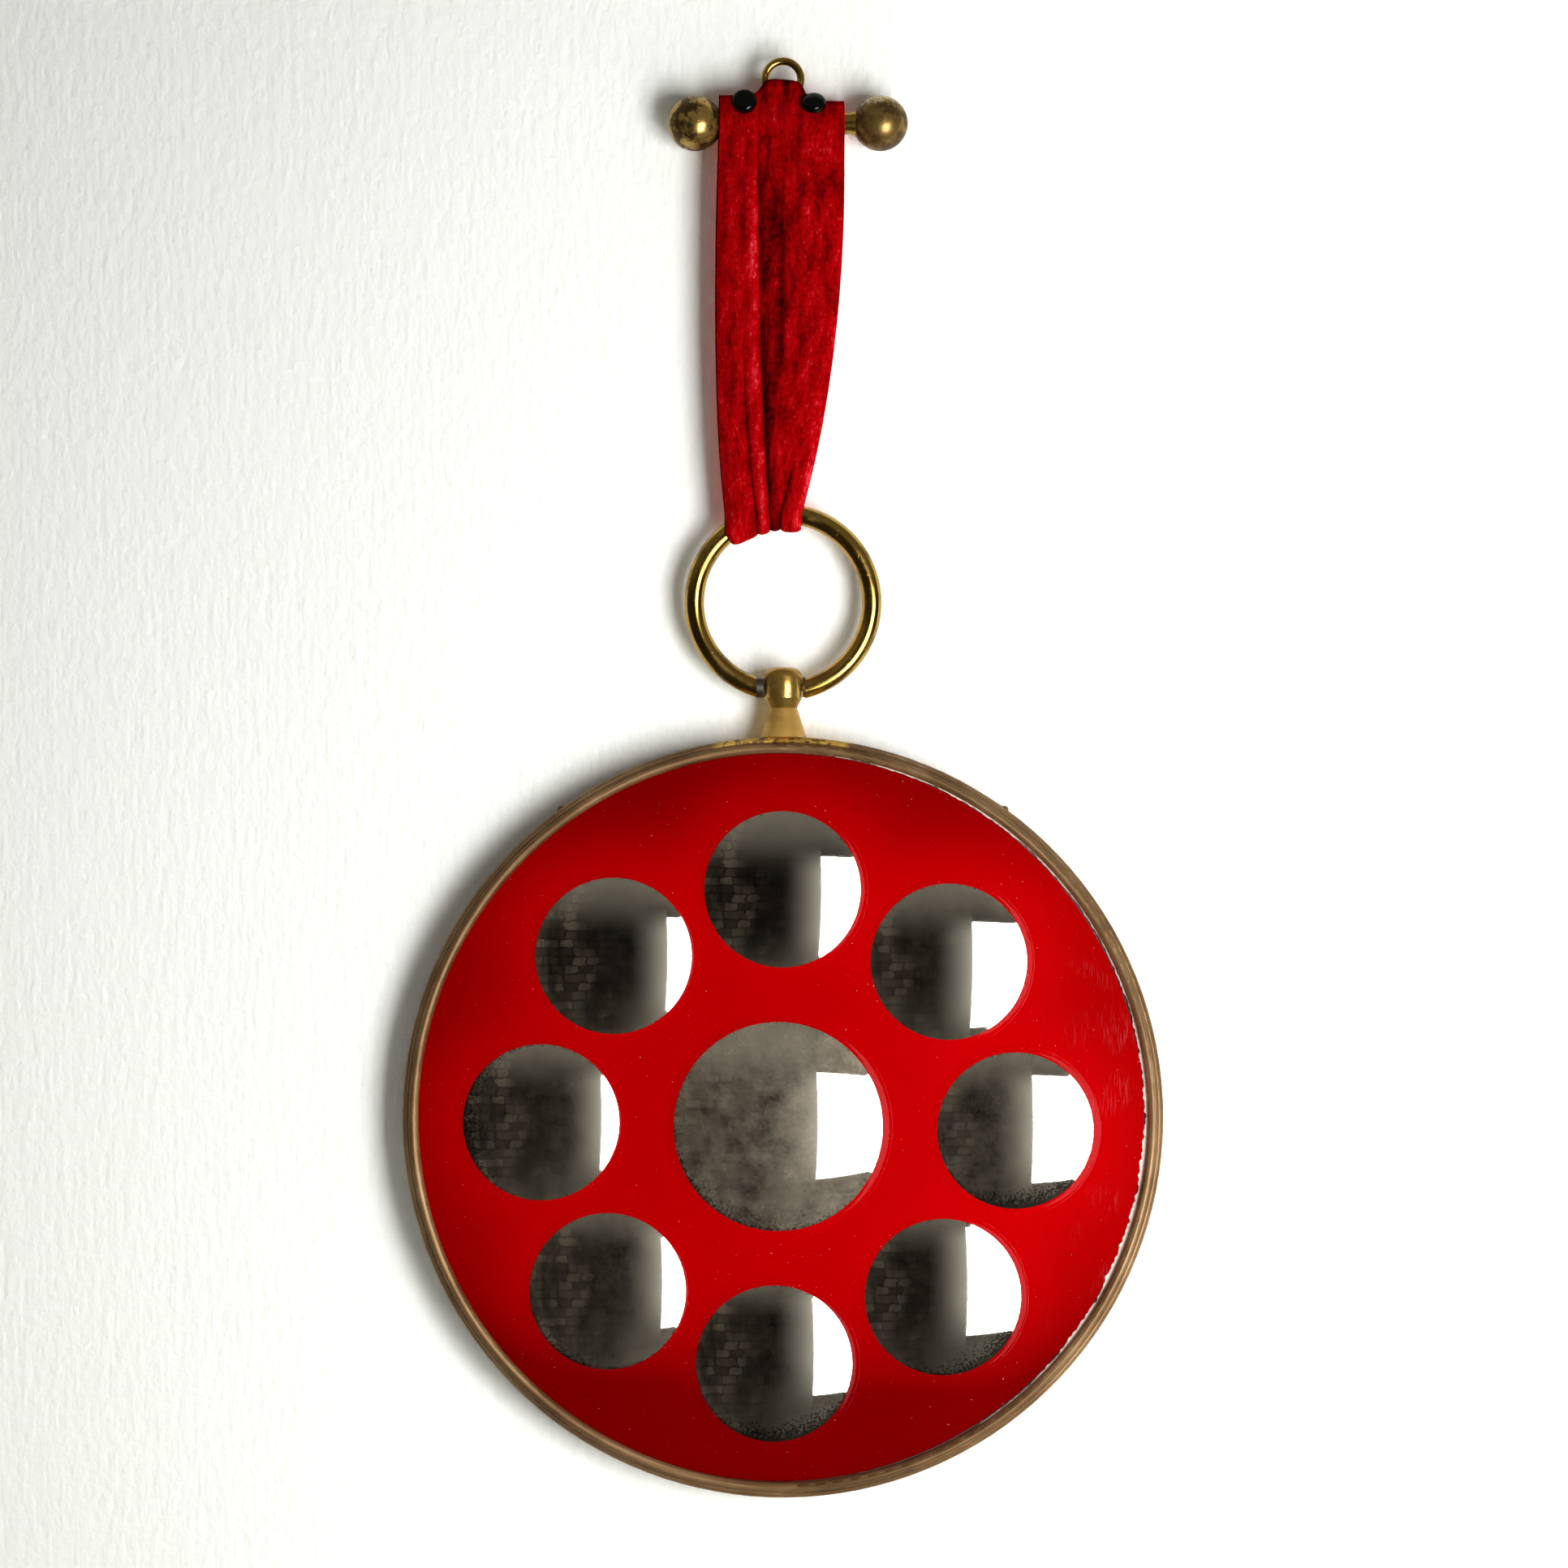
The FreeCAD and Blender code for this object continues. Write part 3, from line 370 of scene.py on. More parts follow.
@dataclass(frozen=True)
class BrownPatina(Finish):
    """Drawn brass strip under a brown chemical patina.

    Drawing lines run along the strip, so its light and dark streaks follow the ring. At the top the
    patina is rubbed through to yellow metal on the outer edge.
    """

    middle: tuple[float, float, float] = (0.0, 0.0, 0.0)
    ring: float = 148.0
    dark: str = "#4f371f"
    body: str = "#86643f"
    light: str = "#b6956c"
    worn: str = "#e6bd58"
    streak_mm: float = 0.5
    streak_length_mm: float = 40.0
    worn_half: float = 26.0
    worn_blur: float = 0.003
    cloud_mm: float = 17.0
    patch_mm: float = 3.0
    groove_depth: float = 0.1
    metal: float = 0.55
    side_share: float = 0.6
    cloud_share: float = 0.5
    tone_range: Span = (0.45, 1.05)
    shine: float = 0.42
    dull: float = 0.54
    groove_strength: float = 0.02
    rim_start: float = 0.5
    rim_end: float = 0.1
    rubbed_range: Span = (0.44, 0.5)

    def apply(self, tree: Tree, shader: Node) -> None:
        """Turns the place into a place on the ring, and reads streaks and wear from that."""
        place = object_place(tree)
        inward = calc_vector(tree, "SUBTRACT", place, Vector(self.middle) * MM)
        flat = calc_vector(tree, "MULTIPLY", inward, (1.0, 0.0, 1.0))
        around = calc_vector(tree, "NORMALIZE", flat)
        radius = add(tree, "VectorMath", {0: flat}, operation="LENGTH").outputs["Value"]
        depth = add(tree, "SeparateXYZ", {0: inward}).outputs["Y"]
        side = calc(tree, "MULTIPLY_ADD", depth, self.side_share, radius)
        across = add(tree, "CombineXYZ", {"Y": side}).outputs[0]
        squeeze = self.ring * MM * self.streak_mm / self.streak_length_mm
        lying = calc_vector(tree, "MULTIPLY_ADD", around, (squeeze,) * 3, across)
        streak = noise(tree, lying, self.streak_mm, 4.0, 0.6)
        cloud = noise(tree, place, self.cloud_mm, 5.0)
        both = calc(tree, "MULTIPLY_ADD", cloud, self.cloud_share, streak)
        tone = ranged(tree, both, *self.tone_range)
        brown = add(tree, "ValToRGB", {"Fac": tone},
                    stops=((0.0, self.dark), (0.5, self.body), (1.0, self.light))).outputs["Color"]
        wear = self.wear(tree, around, radius, place)
        colour = mixed(tree, wear, brown, self.worn)
        rough = ranged(tree, streak, to_low=self.shine, to_high=self.dull)
        grooves = dented(tree, streak, self.groove_strength, self.groove_depth)
        join(tree, shader, {"Base Color": colour, "Metallic": self.metal, "Roughness": rough,
                            "Normal": grooves})

    def wear(self, tree: Tree, around: Socket, radius: Socket, place: Socket) -> Socket:
        """Finds where the outer edge is rubbed bright.

        Args:
            tree: the node tree.
            around: direction from the ring's middle.
            radius: distance from it.
            place: the place on the object.

        Returns:
            How far the patina is gone, from 0 to 1.
        """
        up = add(tree, "SeparateXYZ", {0: around}).outputs["Z"]
        edge = math.cos(self.worn_half / self.ring)
        top = ranged(tree, up, edge - self.worn_blur, edge + self.worn_blur)
        rim = ranged(tree, radius, (self.ring - self.rim_start) * MM,
                     (self.ring - self.rim_end) * MM)
        patch = noise(tree, place, self.patch_mm, 5.0)
        rubbed = ranged(tree, patch, *self.rubbed_range)
        where = calc(tree, "MULTIPLY", top, rim)
        return calc(tree, "MULTIPLY", where, rubbed)


@dataclass(frozen=True)
class CrushedVelvet(Finish):
    """Woven velvet whose short pile was crushed in patches.

    Pile that leans away looks nearly black red, and pile that stands or leans to the eye is bright. A mark
    from the ribbon adds painted shade in the creases and painted highlight on the crests, where the pile is
    rubbed pink and partly painted highlight, with painted glints as fine pale specks. The pattern runs
    down the strip.
    """

    # The ramp runs from painted shade in the creases to painted highlight on the crests, across the pile's
    # own reds.
    dark: str = "#2e0002"
    shade: str = "#700002"
    body: str = "#9c0003"
    light: str = "#bc020a"
    frost_and_highlight: str = "#da2432"
    glint_colour: str = "#f08088"
    patch_mm: float = 4.2
    crush_mm: float = 1.9
    tuft_mm: float = 0.8
    glint_mm: float = 0.7
    stretch: float = 0.28
    sheen: str = "#ff1420"
    crush_share: float = 0.6
    tuft_share: float = 0.35
    nap_range: Span = (0.55, 1.35)
    pile_and_shade_share: float = -0.5
    glint_share: float = 0.3
    fleck_range: Span = (0.79, 1.0)
    fleck_most: float = 0.5
    dark_edge_start: float = 0.35
    dark_edge_end: float = 0.75
    fuzz_strength: float = 0.5
    fuzz_depth: float = 0.5
    rough: float = 0.9
    gloss: float = 0.02
    sheen_share: float = 0.08
    sheen_rough: float = 0.35

    def apply(self, tree: Tree, shader: Node) -> None:
        """Adds crushed patches, tufts, painted shade and highlight on folds, painted glints, a dark left
        edge.
        """
        cloth = add(tree, "TexCoord").outputs["UV"]
        drawn = calc_vector(tree, "MULTIPLY", cloth, (1.0, self.stretch, 1.0))
        patch = noise(tree, drawn, self.patch_mm, 3.0, 0.55)
        crush = noise(tree, cloth, self.crush_mm, 4.0, 0.7, bend=0.6)
        tuft = noise(tree, drawn, self.tuft_mm, 2.0)
        worn = calc(tree, "MULTIPLY_ADD", crush, self.crush_share, patch)
        nap = calc(tree, "MULTIPLY_ADD", tuft, self.tuft_share, worn)
        even = ranged(tree, nap, *self.nap_range)
        # The mark read here is the pile's lie with painted shade in the creases and painted highlight on
        # the crests.
        pile_and_shade = add(tree, "Attribute", attribute_name="pile_and_shade").outputs["Fac"]
        tone = calc(tree, "MULTIPLY_ADD", pile_and_shade, self.pile_and_shade_share, even, use_clamp=True)
        smooth_pile = add(tree, "ValToRGB", {"Fac": tone},
                          stops=((0.0, self.dark), (1.0, self.frost_and_highlight), (0.3, self.shade), (0.52, self.body),
                                 (0.78, self.light))).outputs["Color"]
        # Painted glints: pale specks, most where the pile is light.
        glint = noise(tree, drawn, self.glint_mm, 4.0, 0.7)
        lifted = calc(tree, "MULTIPLY_ADD", tone, self.glint_share, glint)
        painted_glints = ranged(tree, lifted, *self.fleck_range, to_high=self.fleck_most)
        pile = mixed(tree, painted_glints, smooth_pile, self.glint_colour)
        # Darker along the left edge of the strip.
        across = add(tree, "SeparateXYZ", {0: cloth}).outputs["X"]
        left = ranged(tree, across, self.dark_edge_start * MM, self.dark_edge_end * MM,
                      to_low=1.0, to_high=0.0)
        colour = mixed(tree, left, pile, self.dark)
        fuzz = dented(tree, nap, self.fuzz_strength, self.fuzz_depth)
        join(tree, shader, {"Base Color": colour, "Roughness": self.rough,
                            "Specular IOR Level": self.gloss, "Sheen Weight": self.sheen_share,
                            "Sheen Roughness": self.sheen_rough, "Sheen Tint": linear(self.sheen),
                            "Normal": fuzz})


@dataclass(frozen=True)
class RedLacquer(Finish):
    """Red lacquer seen through the glossy front of the glass.

    It is even and deep, with painted light round each bubble and on the right and painted shade towards
    the bottom and top. It shows a few specks of dust, with faint rubbed streaks near the right edge. The
    gloss is weak, because the old glass is dull.
    """

    # The red runs from deep, in painted shade and away from the bubbles, to the bright red of the painted
    # light round them.
    deep: str = "#6d0001"
    painted_glow: str = "#bc0003"
    dust: str = "#d8888a"
    streak_start: float = 100.0
    streak_reach: float = 25.0
    streak_mm: float = 0.45
    patch_mm: float = 24.0
    cloud_mm: float = 60.0
    dust_mm: float = 0.9
    cloud_share: float = 0.12
    dust_range: Span = (0.77, 0.83)
    rough: float = 0.06
    gloss: float = 0.03
    rubbed_range: Span = (0.57, 0.66)
    streak_stretch: float = 0.08
    streak_range: Span = (0.52, 0.8)
    streak_most: float = 0.15

    def apply(self, tree: Tree, shader: Node) -> None:
        """Mixes painted light and shade by their mark and adds clouds, dust and streaks."""
        place = object_place(tree)
        # This mark is painted light round the bubbles and on the right, with painted shade towards the
        # bottom and top.
        painted_glow = add(tree, "Attribute", attribute_name="painted_glow").outputs["Fac"]
        cloud = noise(tree, place, self.cloud_mm, 2.0)
        tone = calc(tree, "MULTIPLY_ADD", cloud, self.cloud_share, painted_glow)
        red = mixed(tree, tone, self.deep, self.painted_glow)
        speck = noise(tree, place, self.dust_mm, 1.0)
        dust = ranged(tree, speck, *self.dust_range)
        dirt = calc(tree, "MAXIMUM", dust, self.streaks(tree, place))
        colour = mixed(tree, dirt, red, self.dust)
        join(tree, shader, {"Base Color": colour, "Roughness": self.rough,
                            "Specular IOR Level": self.gloss})

    def streaks(self, tree: Tree, place: Socket) -> Socket:
        """Gives faint upright streaks in a few patches to the right of where they start."""
        side = add(tree, "SeparateXYZ", {0: place}).outputs["X"]
        where = ranged(tree, side, self.streak_start * MM, (self.streak_start + self.streak_reach) * MM)
        patch = noise(tree, place, self.patch_mm, 1.0)
        rubbed = ranged(tree, patch, *self.rubbed_range)
        drawn = calc_vector(tree, "MULTIPLY", place, (1.0, 1.0, self.streak_stretch))
        line = noise(tree, drawn, self.streak_mm, 3.0)
        thin = ranged(tree, line, *self.streak_range, to_high=self.streak_most)
        both = calc(tree, "MULTIPLY", where, rubbed)
        return calc(tree, "MULTIPLY", both, thin)


@dataclass(frozen=True)
class FoxedSilver(Finish):
    """Silvered glass whose coat has aged.

    It still mirrors the room, but through a brown bloom that lies in soft clouds and spreads bright lights,
    with dark spots where the silver is gone, most of them along the lower rims.
    """

    silver: str = "#e6e2d8"
    bloom: str = "#a09480"
    spot: str = "#1b150f"
    bloom_share: float = 0.32
    cloud_mm: float = 9.0
    grain_mm: float = 1.4
    spot_mm: float = 0.9
    loss_gain: float = 0.28
    rough: float = 0.03
    spot_range: Span = (0.68, 0.8)
    spot_most: float = 0.85
    grain_share: float = 0.6
    dusty_range: Span = (0.55, 1.05)
    least_bloom: float = 0.2
    most_bloom: float = 1.8
    milk_metal: float = 0.55
    milk_rough: float = 0.52

    def apply(self, tree: Tree, shader: Node) -> None:
        """Sets a sharp mirror that is broken by spots."""
        join(tree, shader, {"Base Color": self.spotted(tree, self.silver), "Metallic": 1.0,
                            "Roughness": self.rough})

    def spotted(self, tree: Tree, colour: str) -> Socket:
        """Gives a colour with the dark spots in it."""
        place = object_place(tree)
        loss = add(tree, "Attribute", attribute_name="loss").outputs["Fac"]
        grain = noise(tree, place, self.spot_mm, 5.0, 0.7)
        eaten = calc(tree, "MULTIPLY_ADD", loss, self.loss_gain, grain)
        spots = ranged(tree, eaten, *self.spot_range, to_high=self.spot_most)
        return mixed(tree, spots, colour, self.spot)

    def surface(self, tree: Tree, shader: Node) -> Socket:
        """Lays the milky bloom over the mirror.

        Args:
            tree: the node tree.
            shader: the sharp mirror.

        Returns:
            The mirror with its bloom.
        """
        place = object_place(tree)
        haze = add(tree, "Attribute", attribute_name="haze").outputs["Fac"]
        cloud = noise(tree, place, self.cloud_mm, 5.0, 0.6)
        grain = noise(tree, place, self.grain_mm, 5.0, 0.75)
        dusty = calc(tree, "MULTIPLY_ADD", grain, self.grain_share, cloud)
        swirl = ranged(tree, dusty, *self.dusty_range, to_low=self.least_bloom * self.bloom_share,
                       to_high=self.most_bloom * self.bloom_share)
        share = calc(tree, "MULTIPLY", swirl, haze)
        milk = add(tree, "BsdfPrincipled", {"Base Color": self.spotted(tree, self.bloom),
                                            "Metallic": self.milk_metal, "Roughness": self.milk_rough})
        both = add(tree, "MixShader", {0: share, 1: shader.outputs["BSDF"], 2: milk.outputs["BSDF"]})
        return both.outputs[0]


@dataclass(frozen=True)
class BlackEnamel(Finish):
    """Black stove enamel on small pressed caps: glossy, with dust and tiny chips."""

    coat: str = "#040505"
    chip: str = "#a9a9a4"
    chip_mm: float = 0.8
    cloud_mm: float = 2.5
    chip_range: Span = (0.78, 0.84)
    shine: float = 0.03
    dull: float = 0.14
    gloss: float = 0.22

    def apply(self, tree: Tree, shader: Node) -> None:
        """Sets a dark gloss with pale specks."""
        place = object_place(tree)
        speck = noise(tree, place, self.chip_mm, 1.0)
        chips = ranged(tree, speck, *self.chip_range)
        colour = mixed(tree, chips, self.coat, self.chip)
        cloud = noise(tree, place, self.cloud_mm, 3.0)
        rough = ranged(tree, cloud, to_low=self.shine, to_high=self.dull)
        join(tree, shader, {"Base Color": colour, "Roughness": rough, "Specular IOR Level": self.gloss})


@dataclass(frozen=True)
class TurnedSteel(Finish):
    """Turned mild steel, grown dull: fine rings of the tool and brownish clouds."""

    clean: str = "#8f8b84"
    stained: str = "#4c463d"
    cloud_mm: float = 3.0
    line_mm: float = 0.3
    line_stretch: float = 0.02
    shine: float = 0.3
    dull: float = 0.5
    cut_strength: float = 0.2
    cut_depth: float = 0.05

    def apply(self, tree: Tree, shader: Node) -> None:
        """Mixes stains over the metal and cuts fine turning lines."""
        place = object_place(tree)
        cloud = noise(tree, place, self.cloud_mm, 4.0)
        colour = mixed(tree, cloud, self.clean, self.stained)
        drawn = calc_vector(tree, "MULTIPLY", place, (1.0, self.line_stretch, self.line_stretch))
        lines = noise(tree, drawn, self.line_mm, 2.0)
        rough = ranged(tree, lines, to_low=self.shine, to_high=self.dull)
        cuts = dented(tree, lines, self.cut_strength, self.cut_depth)
        join(tree, shader, {"Base Color": colour, "Metallic": 1.0, "Roughness": rough, "Normal": cuts})


@dataclass(frozen=True)
class DryPutty(Finish):
    """Old linseed putty: chalky white, cracked, with grey dirt in its hollows."""

    chalk: str = "#fbefe0"
    dirt: str = "#b09a86"
    crumb_mm: float = 1.2
    dirt_range: Span = (0.56, 0.7)
    relief_strength: float = 0.6
    relief_depth: float = 0.3
    rough: float = 0.9

    def apply(self, tree: Tree, shader: Node) -> None:
        """Mixes chalk and dirt, with a crumbly bump."""
        place = object_place(tree)
        crumb = noise(tree, place, self.crumb_mm, 5.0, 0.7)
        dirty = ranged(tree, crumb, *self.dirt_range)
        colour = mixed(tree, dirty, self.chalk, self.dirt)
        relief = dented(tree, crumb, self.relief_strength, self.relief_depth)
        join(tree, shader, {"Base Color": colour, "Roughness": self.rough, "Normal": relief})


@dataclass(frozen=True)
class BarePlywood(Finish):
    """Rotary cut plywood, bare and browned: broad wavy grain with fine dark pores."""

    early: str = "#b68f5f"
    late: str = "#84613a"
    grain_mm: float = 16.0
    pore_mm: float = 1.1
    stretch: float = 0.12
    pore_share: float = 0.5
    tone_range: Span = (0.5, 1.0)
    pore_strength: float = 0.3
    pore_depth: float = 0.2
    rough: float = 0.75

    def apply(self, tree: Tree, shader: Node) -> None:
        """Bends wide rings into grain and adds pores along it."""
        place = object_place(tree)
        drawn = calc_vector(tree, "MULTIPLY", place, (self.stretch, 1.0, 1.0))
        grain = noise(tree, drawn, self.grain_mm, 5.0, bend=1.2)
        pores = noise(tree, drawn, self.pore_mm, 3.0)
        both = calc(tree, "MULTIPLY_ADD", pores, self.pore_share, grain)
        tone = ranged(tree, both, *self.tone_range)
        colour = mixed(tree, tone, self.early, self.late)
        relief = dented(tree, pores, self.pore_strength, self.pore_depth)
        join(tree, shader, {"Base Color": colour, "Roughness": self.rough, "Normal": relief})


@dataclass(frozen=True)
class GreyCard(Finish):
    """Grey pulp card: matt, with short fibres in lighter and darker grey."""

    light: str = "#a39b8e"
    dark: str = "#7a7266"
    fibre_mm: float = 2.0
    rough: float = 0.95

    def apply(self, tree: Tree, shader: Node) -> None:
        """Mixes two greys by a fibrous noise."""
        place = object_place(tree)
        fibre = noise(tree, place, self.fibre_mm, 6.0, bend=2.0)
        colour = mixed(tree, fibre, self.light, self.dark)
        join(tree, shader, {"Base Color": colour, "Roughness": self.rough})


# Panel

class Rim(Enum):
    """Where a bubble's silver is most eaten away."""

    NONE = (0.0, 0.0)
    LEFT = (180.0, 0.8)
    LOWER = (-80.0, 1.0)
    LOWER_RIGHT = (-55.0, 0.9)
    LOWER_LEFT = (-120.0, 0.6)


@dataclass(frozen=True)
class Bubble:
    """One bubble: its middle, the radius of its silver, its bloom and its worn rim."""

    x: float
    z: float
    silver: float
    haze: float
    rim: Rim


@dataclass
class MirrorPanel:
    """The glass panel with its red face and nine silvered bubbles."""

    sphere: float = 125.0
    flare: float = 12.0
    circle: float = 93.5
    count: int = 8
    turn: float = -1.0
    outer_silver: float = 30.8
    centre_silver: float = 41.2
    centre_haze: float = 1.1
    thickness: float = 3.0
    # These shape the painted light round the bubbles, the painted light on the right and the painted shade
    # at the ends.
    glow_reach: float = 14.0
    glow_fall: float = 1.6
    glow_top: float = 0.9
    glow_dip: float = 0.55
    glow_gain: float = 1.5
    glow_side: float = 0.14
    sink: float = 0.1
    overlap: float = 0.4
    edge_gap: float = 0.1
    face_gap: float = 0.03
    cap_rings: int = 24
    flare_rings: int = 9
    face_rings: int = 64

    def __post_init__(self) -> None:
        """Takes the panel's places from the frame."""
        low, high = node_box("centre_silvering")
        self.middle = (low + high) / 2
        low, high = node_box("glazing_putty")
        self.front = low[1]
        low, high = node_box("glass_panel")
        self.face_middle = (low + high) / 2
        self.radius = (high[0] - low[0]) / 2
        self.bubbles = self.place_bubbles()

    def place_bubbles(self) -> list[Bubble]:
        """Gives the middle bubble and the ones round it, counter-clockwise from the right."""
        hazes = (0.32, 0.14, 0.06, 0.1, 0.24, 0.24, 0.13, 0.1)
        rims = (Rim.LOWER, Rim.NONE, Rim.NONE, Rim.NONE, Rim.LEFT, Rim.LOWER_LEFT, Rim.LOWER,
                Rim.LOWER_RIGHT)
        found = [Bubble(self.middle[0], self.middle[2], self.centre_silver, self.centre_haze,
                        Rim.LOWER_LEFT)]
        for index in range(self.count):
            angle = math.radians(360 / self.count * index + self.turn)
            x = self.middle[0] + self.circle * math.cos(angle)
            z = self.middle[2] + self.circle * math.sin(angle)
            found.append(Bubble(x, z, self.outer_silver, hazes[index % len(hazes)],
                                rims[index % len(rims)]))
        return found

    def painted_glow(self, x: np.ndarray, z: np.ndarray) -> np.ndarray:
        """Paints light into the red round the bubbles and on the right, and shade at the top and bottom.

        At a distance d from a rim it is exp(-(d / reach)^fall). A sum s shows as top - dip exp(-gain s).
        """
        total = np.zeros(np.shape(x))
        for bubble in self.bubbles:
            away = np.maximum(np.hypot(x - bubble.x, z - bubble.z) - bubble.silver, 0.0)
            total = total + np.exp(-(away / self.glow_reach) ** self.glow_fall)
        side = (x - self.face_middle[0]) / self.radius
        up = (z - self.face_middle[2]) / self.radius
        # Painted shade towards the bottom and, less, towards the top.
        ends = 1.1 * smooth(0.35, 1.0, -up) + 0.3 * smooth(0.55, 1.0, up)
        shown = self.glow_top - self.glow_dip * np.exp(-self.glow_gain * total)
        return np.clip(shown + self.glow_side * side - ends, 0.0, 1.0)

    def height(self, radius: np.ndarray, silver: float) -> np.ndarray:
        """Gives a bubble's height over the glass: a sphere's cap, then a hollow flare down to it."""
        sine = silver / self.sphere
        cosine = math.sqrt(1 - sine ** 2)
        foot = silver + self.flare * sine
        base = self.flare * (1 - cosine) - self.sphere * cosine
        cap = base + np.sqrt(self.sphere ** 2 - np.minimum(radius, silver) ** 2)
        hollow = self.flare - np.sqrt(self.flare ** 2 - np.clip(foot - radius, 0.0, self.flare * sine) ** 2)
        return np.where(radius <= silver, cap, hollow)

    def bubble_surface(self, bubble: Bubble) -> tuple[np.ndarray, dict[str, np.ndarray], np.ndarray]:
        """Works out one bubble on a disc grid, with rings to the rim and on to the foot of the flare.

        Args:
            bubble: the bubble.

        Returns:
            Its points, its marks and the finish number of each face.
        """
        rings = self.cap_rings + self.flare_rings
        ring, angle = disc_grid(rings)
        foot = bubble.silver + self.flare * bubble.silver / self.sphere + self.overlap
        outside = (foot - bubble.silver) * (ring - self.cap_rings) / self.flare_rings
        radius = np.where(ring <= self.cap_rings, bubble.silver * ring / self.cap_rings,
                          bubble.silver + outside)
        x = bubble.x + radius * np.cos(angle)
        z = bubble.z + radius * np.sin(angle)
        sunk = np.where(ring == rings, self.sink, 0.0)
        y = self.front - self.height(radius, bubble.silver) + sunk
        points = np.stack([x, y, z], axis=-1).reshape(-1, 3)
        share = radius / bubble.silver
        direction, strength = bubble.rim.value
        towards = 0.5 + 0.5 * np.cos(angle - math.radians(direction))
        worn = strength * towards ** 3 * smooth(0.5, 1.0, share)
        loss = 0.25 * share ** 8 + worn + 0.4 * smooth(0.96, 1.0, share)
        haze = bubble.haze * (0.75 + 0.25 * share ** 2) + 0.25 * share ** 12
        # The first mark is the red's painted light and shade.
        marks = {"painted_glow": self.painted_glow(x, z), "haze": haze, "loss": loss}
        corner_ring = ring.ravel()[grid_faces(2 * rings + 1, 2 * rings + 1)]
        return points, marks, (corner_ring.max(axis=1) > self.cap_rings).astype(int)

    def build_bubbles(self, silver: Material, red: Material) -> Piece:
        """Makes all the bubbles as one piece with a silver and a red finish."""
        surfaces = [self.bubble_surface(bubble) for bubble in self.bubbles]
        side = 2 * (self.cap_rings + self.flare_rings) + 1
        faces = grid_faces(side, side)
        offsets = np.arange(len(surfaces))[:, None, None] * side * side
        points = np.concatenate([surface[0] for surface in surfaces])
        marks = {name: np.concatenate([surface[1][name].ravel() for surface in surfaces])
                 for name in ("painted_glow", "haze", "loss")}
        shares = np.concatenate([surface[2] for surface in surfaces])
        piece = make_piece("bubble_mirrors", points, (faces[None] + offsets).reshape(-1, 4), (silver, red),
                           "mirror", marks, shares=shares)
        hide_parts("centre_silvering", "outer_silvering")
        return piece

    def build_face(self, red: Material) -> Piece:
        """Makes the flat red face: a disc whose last rings turn back as the edge of the glass."""
        ring, angle = disc_grid(self.face_rings)
        last = self.face_rings - 2
        radius = np.where(ring < last, (self.radius - self.edge_gap) * ring / (last - 1), self.radius)
        x = self.face_middle[0] + radius * np.cos(angle)
        z = self.face_middle[2] + radius * np.sin(angle)
        y = self.front + self.face_gap + self.thickness * np.maximum(ring - last, 0) / 2
        points = np.stack([x, y, z], axis=-1).reshape(-1, 3)
        side = 2 * self.face_rings + 1
        # The face carries the same painted light and shade as the bubbles' red.
        piece = make_piece("panel_face", points, grid_faces(side, side), (red,), "mirror",
                           {"painted_glow": self.painted_glow(x, z)})
        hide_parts("glass_panel", "red_lacquer")
        return piece


# Ribbon

@dataclass(frozen=True)
class Crease:
    """A crease down the ribbon: where it lies, how deep it gets and how wide its two sides are."""

    start: float
    shift: float
    power: float
    depth: float
    fade_low: float
    fade_high: float
    left_side: float
    right_side: float
    spread: float = 0.0


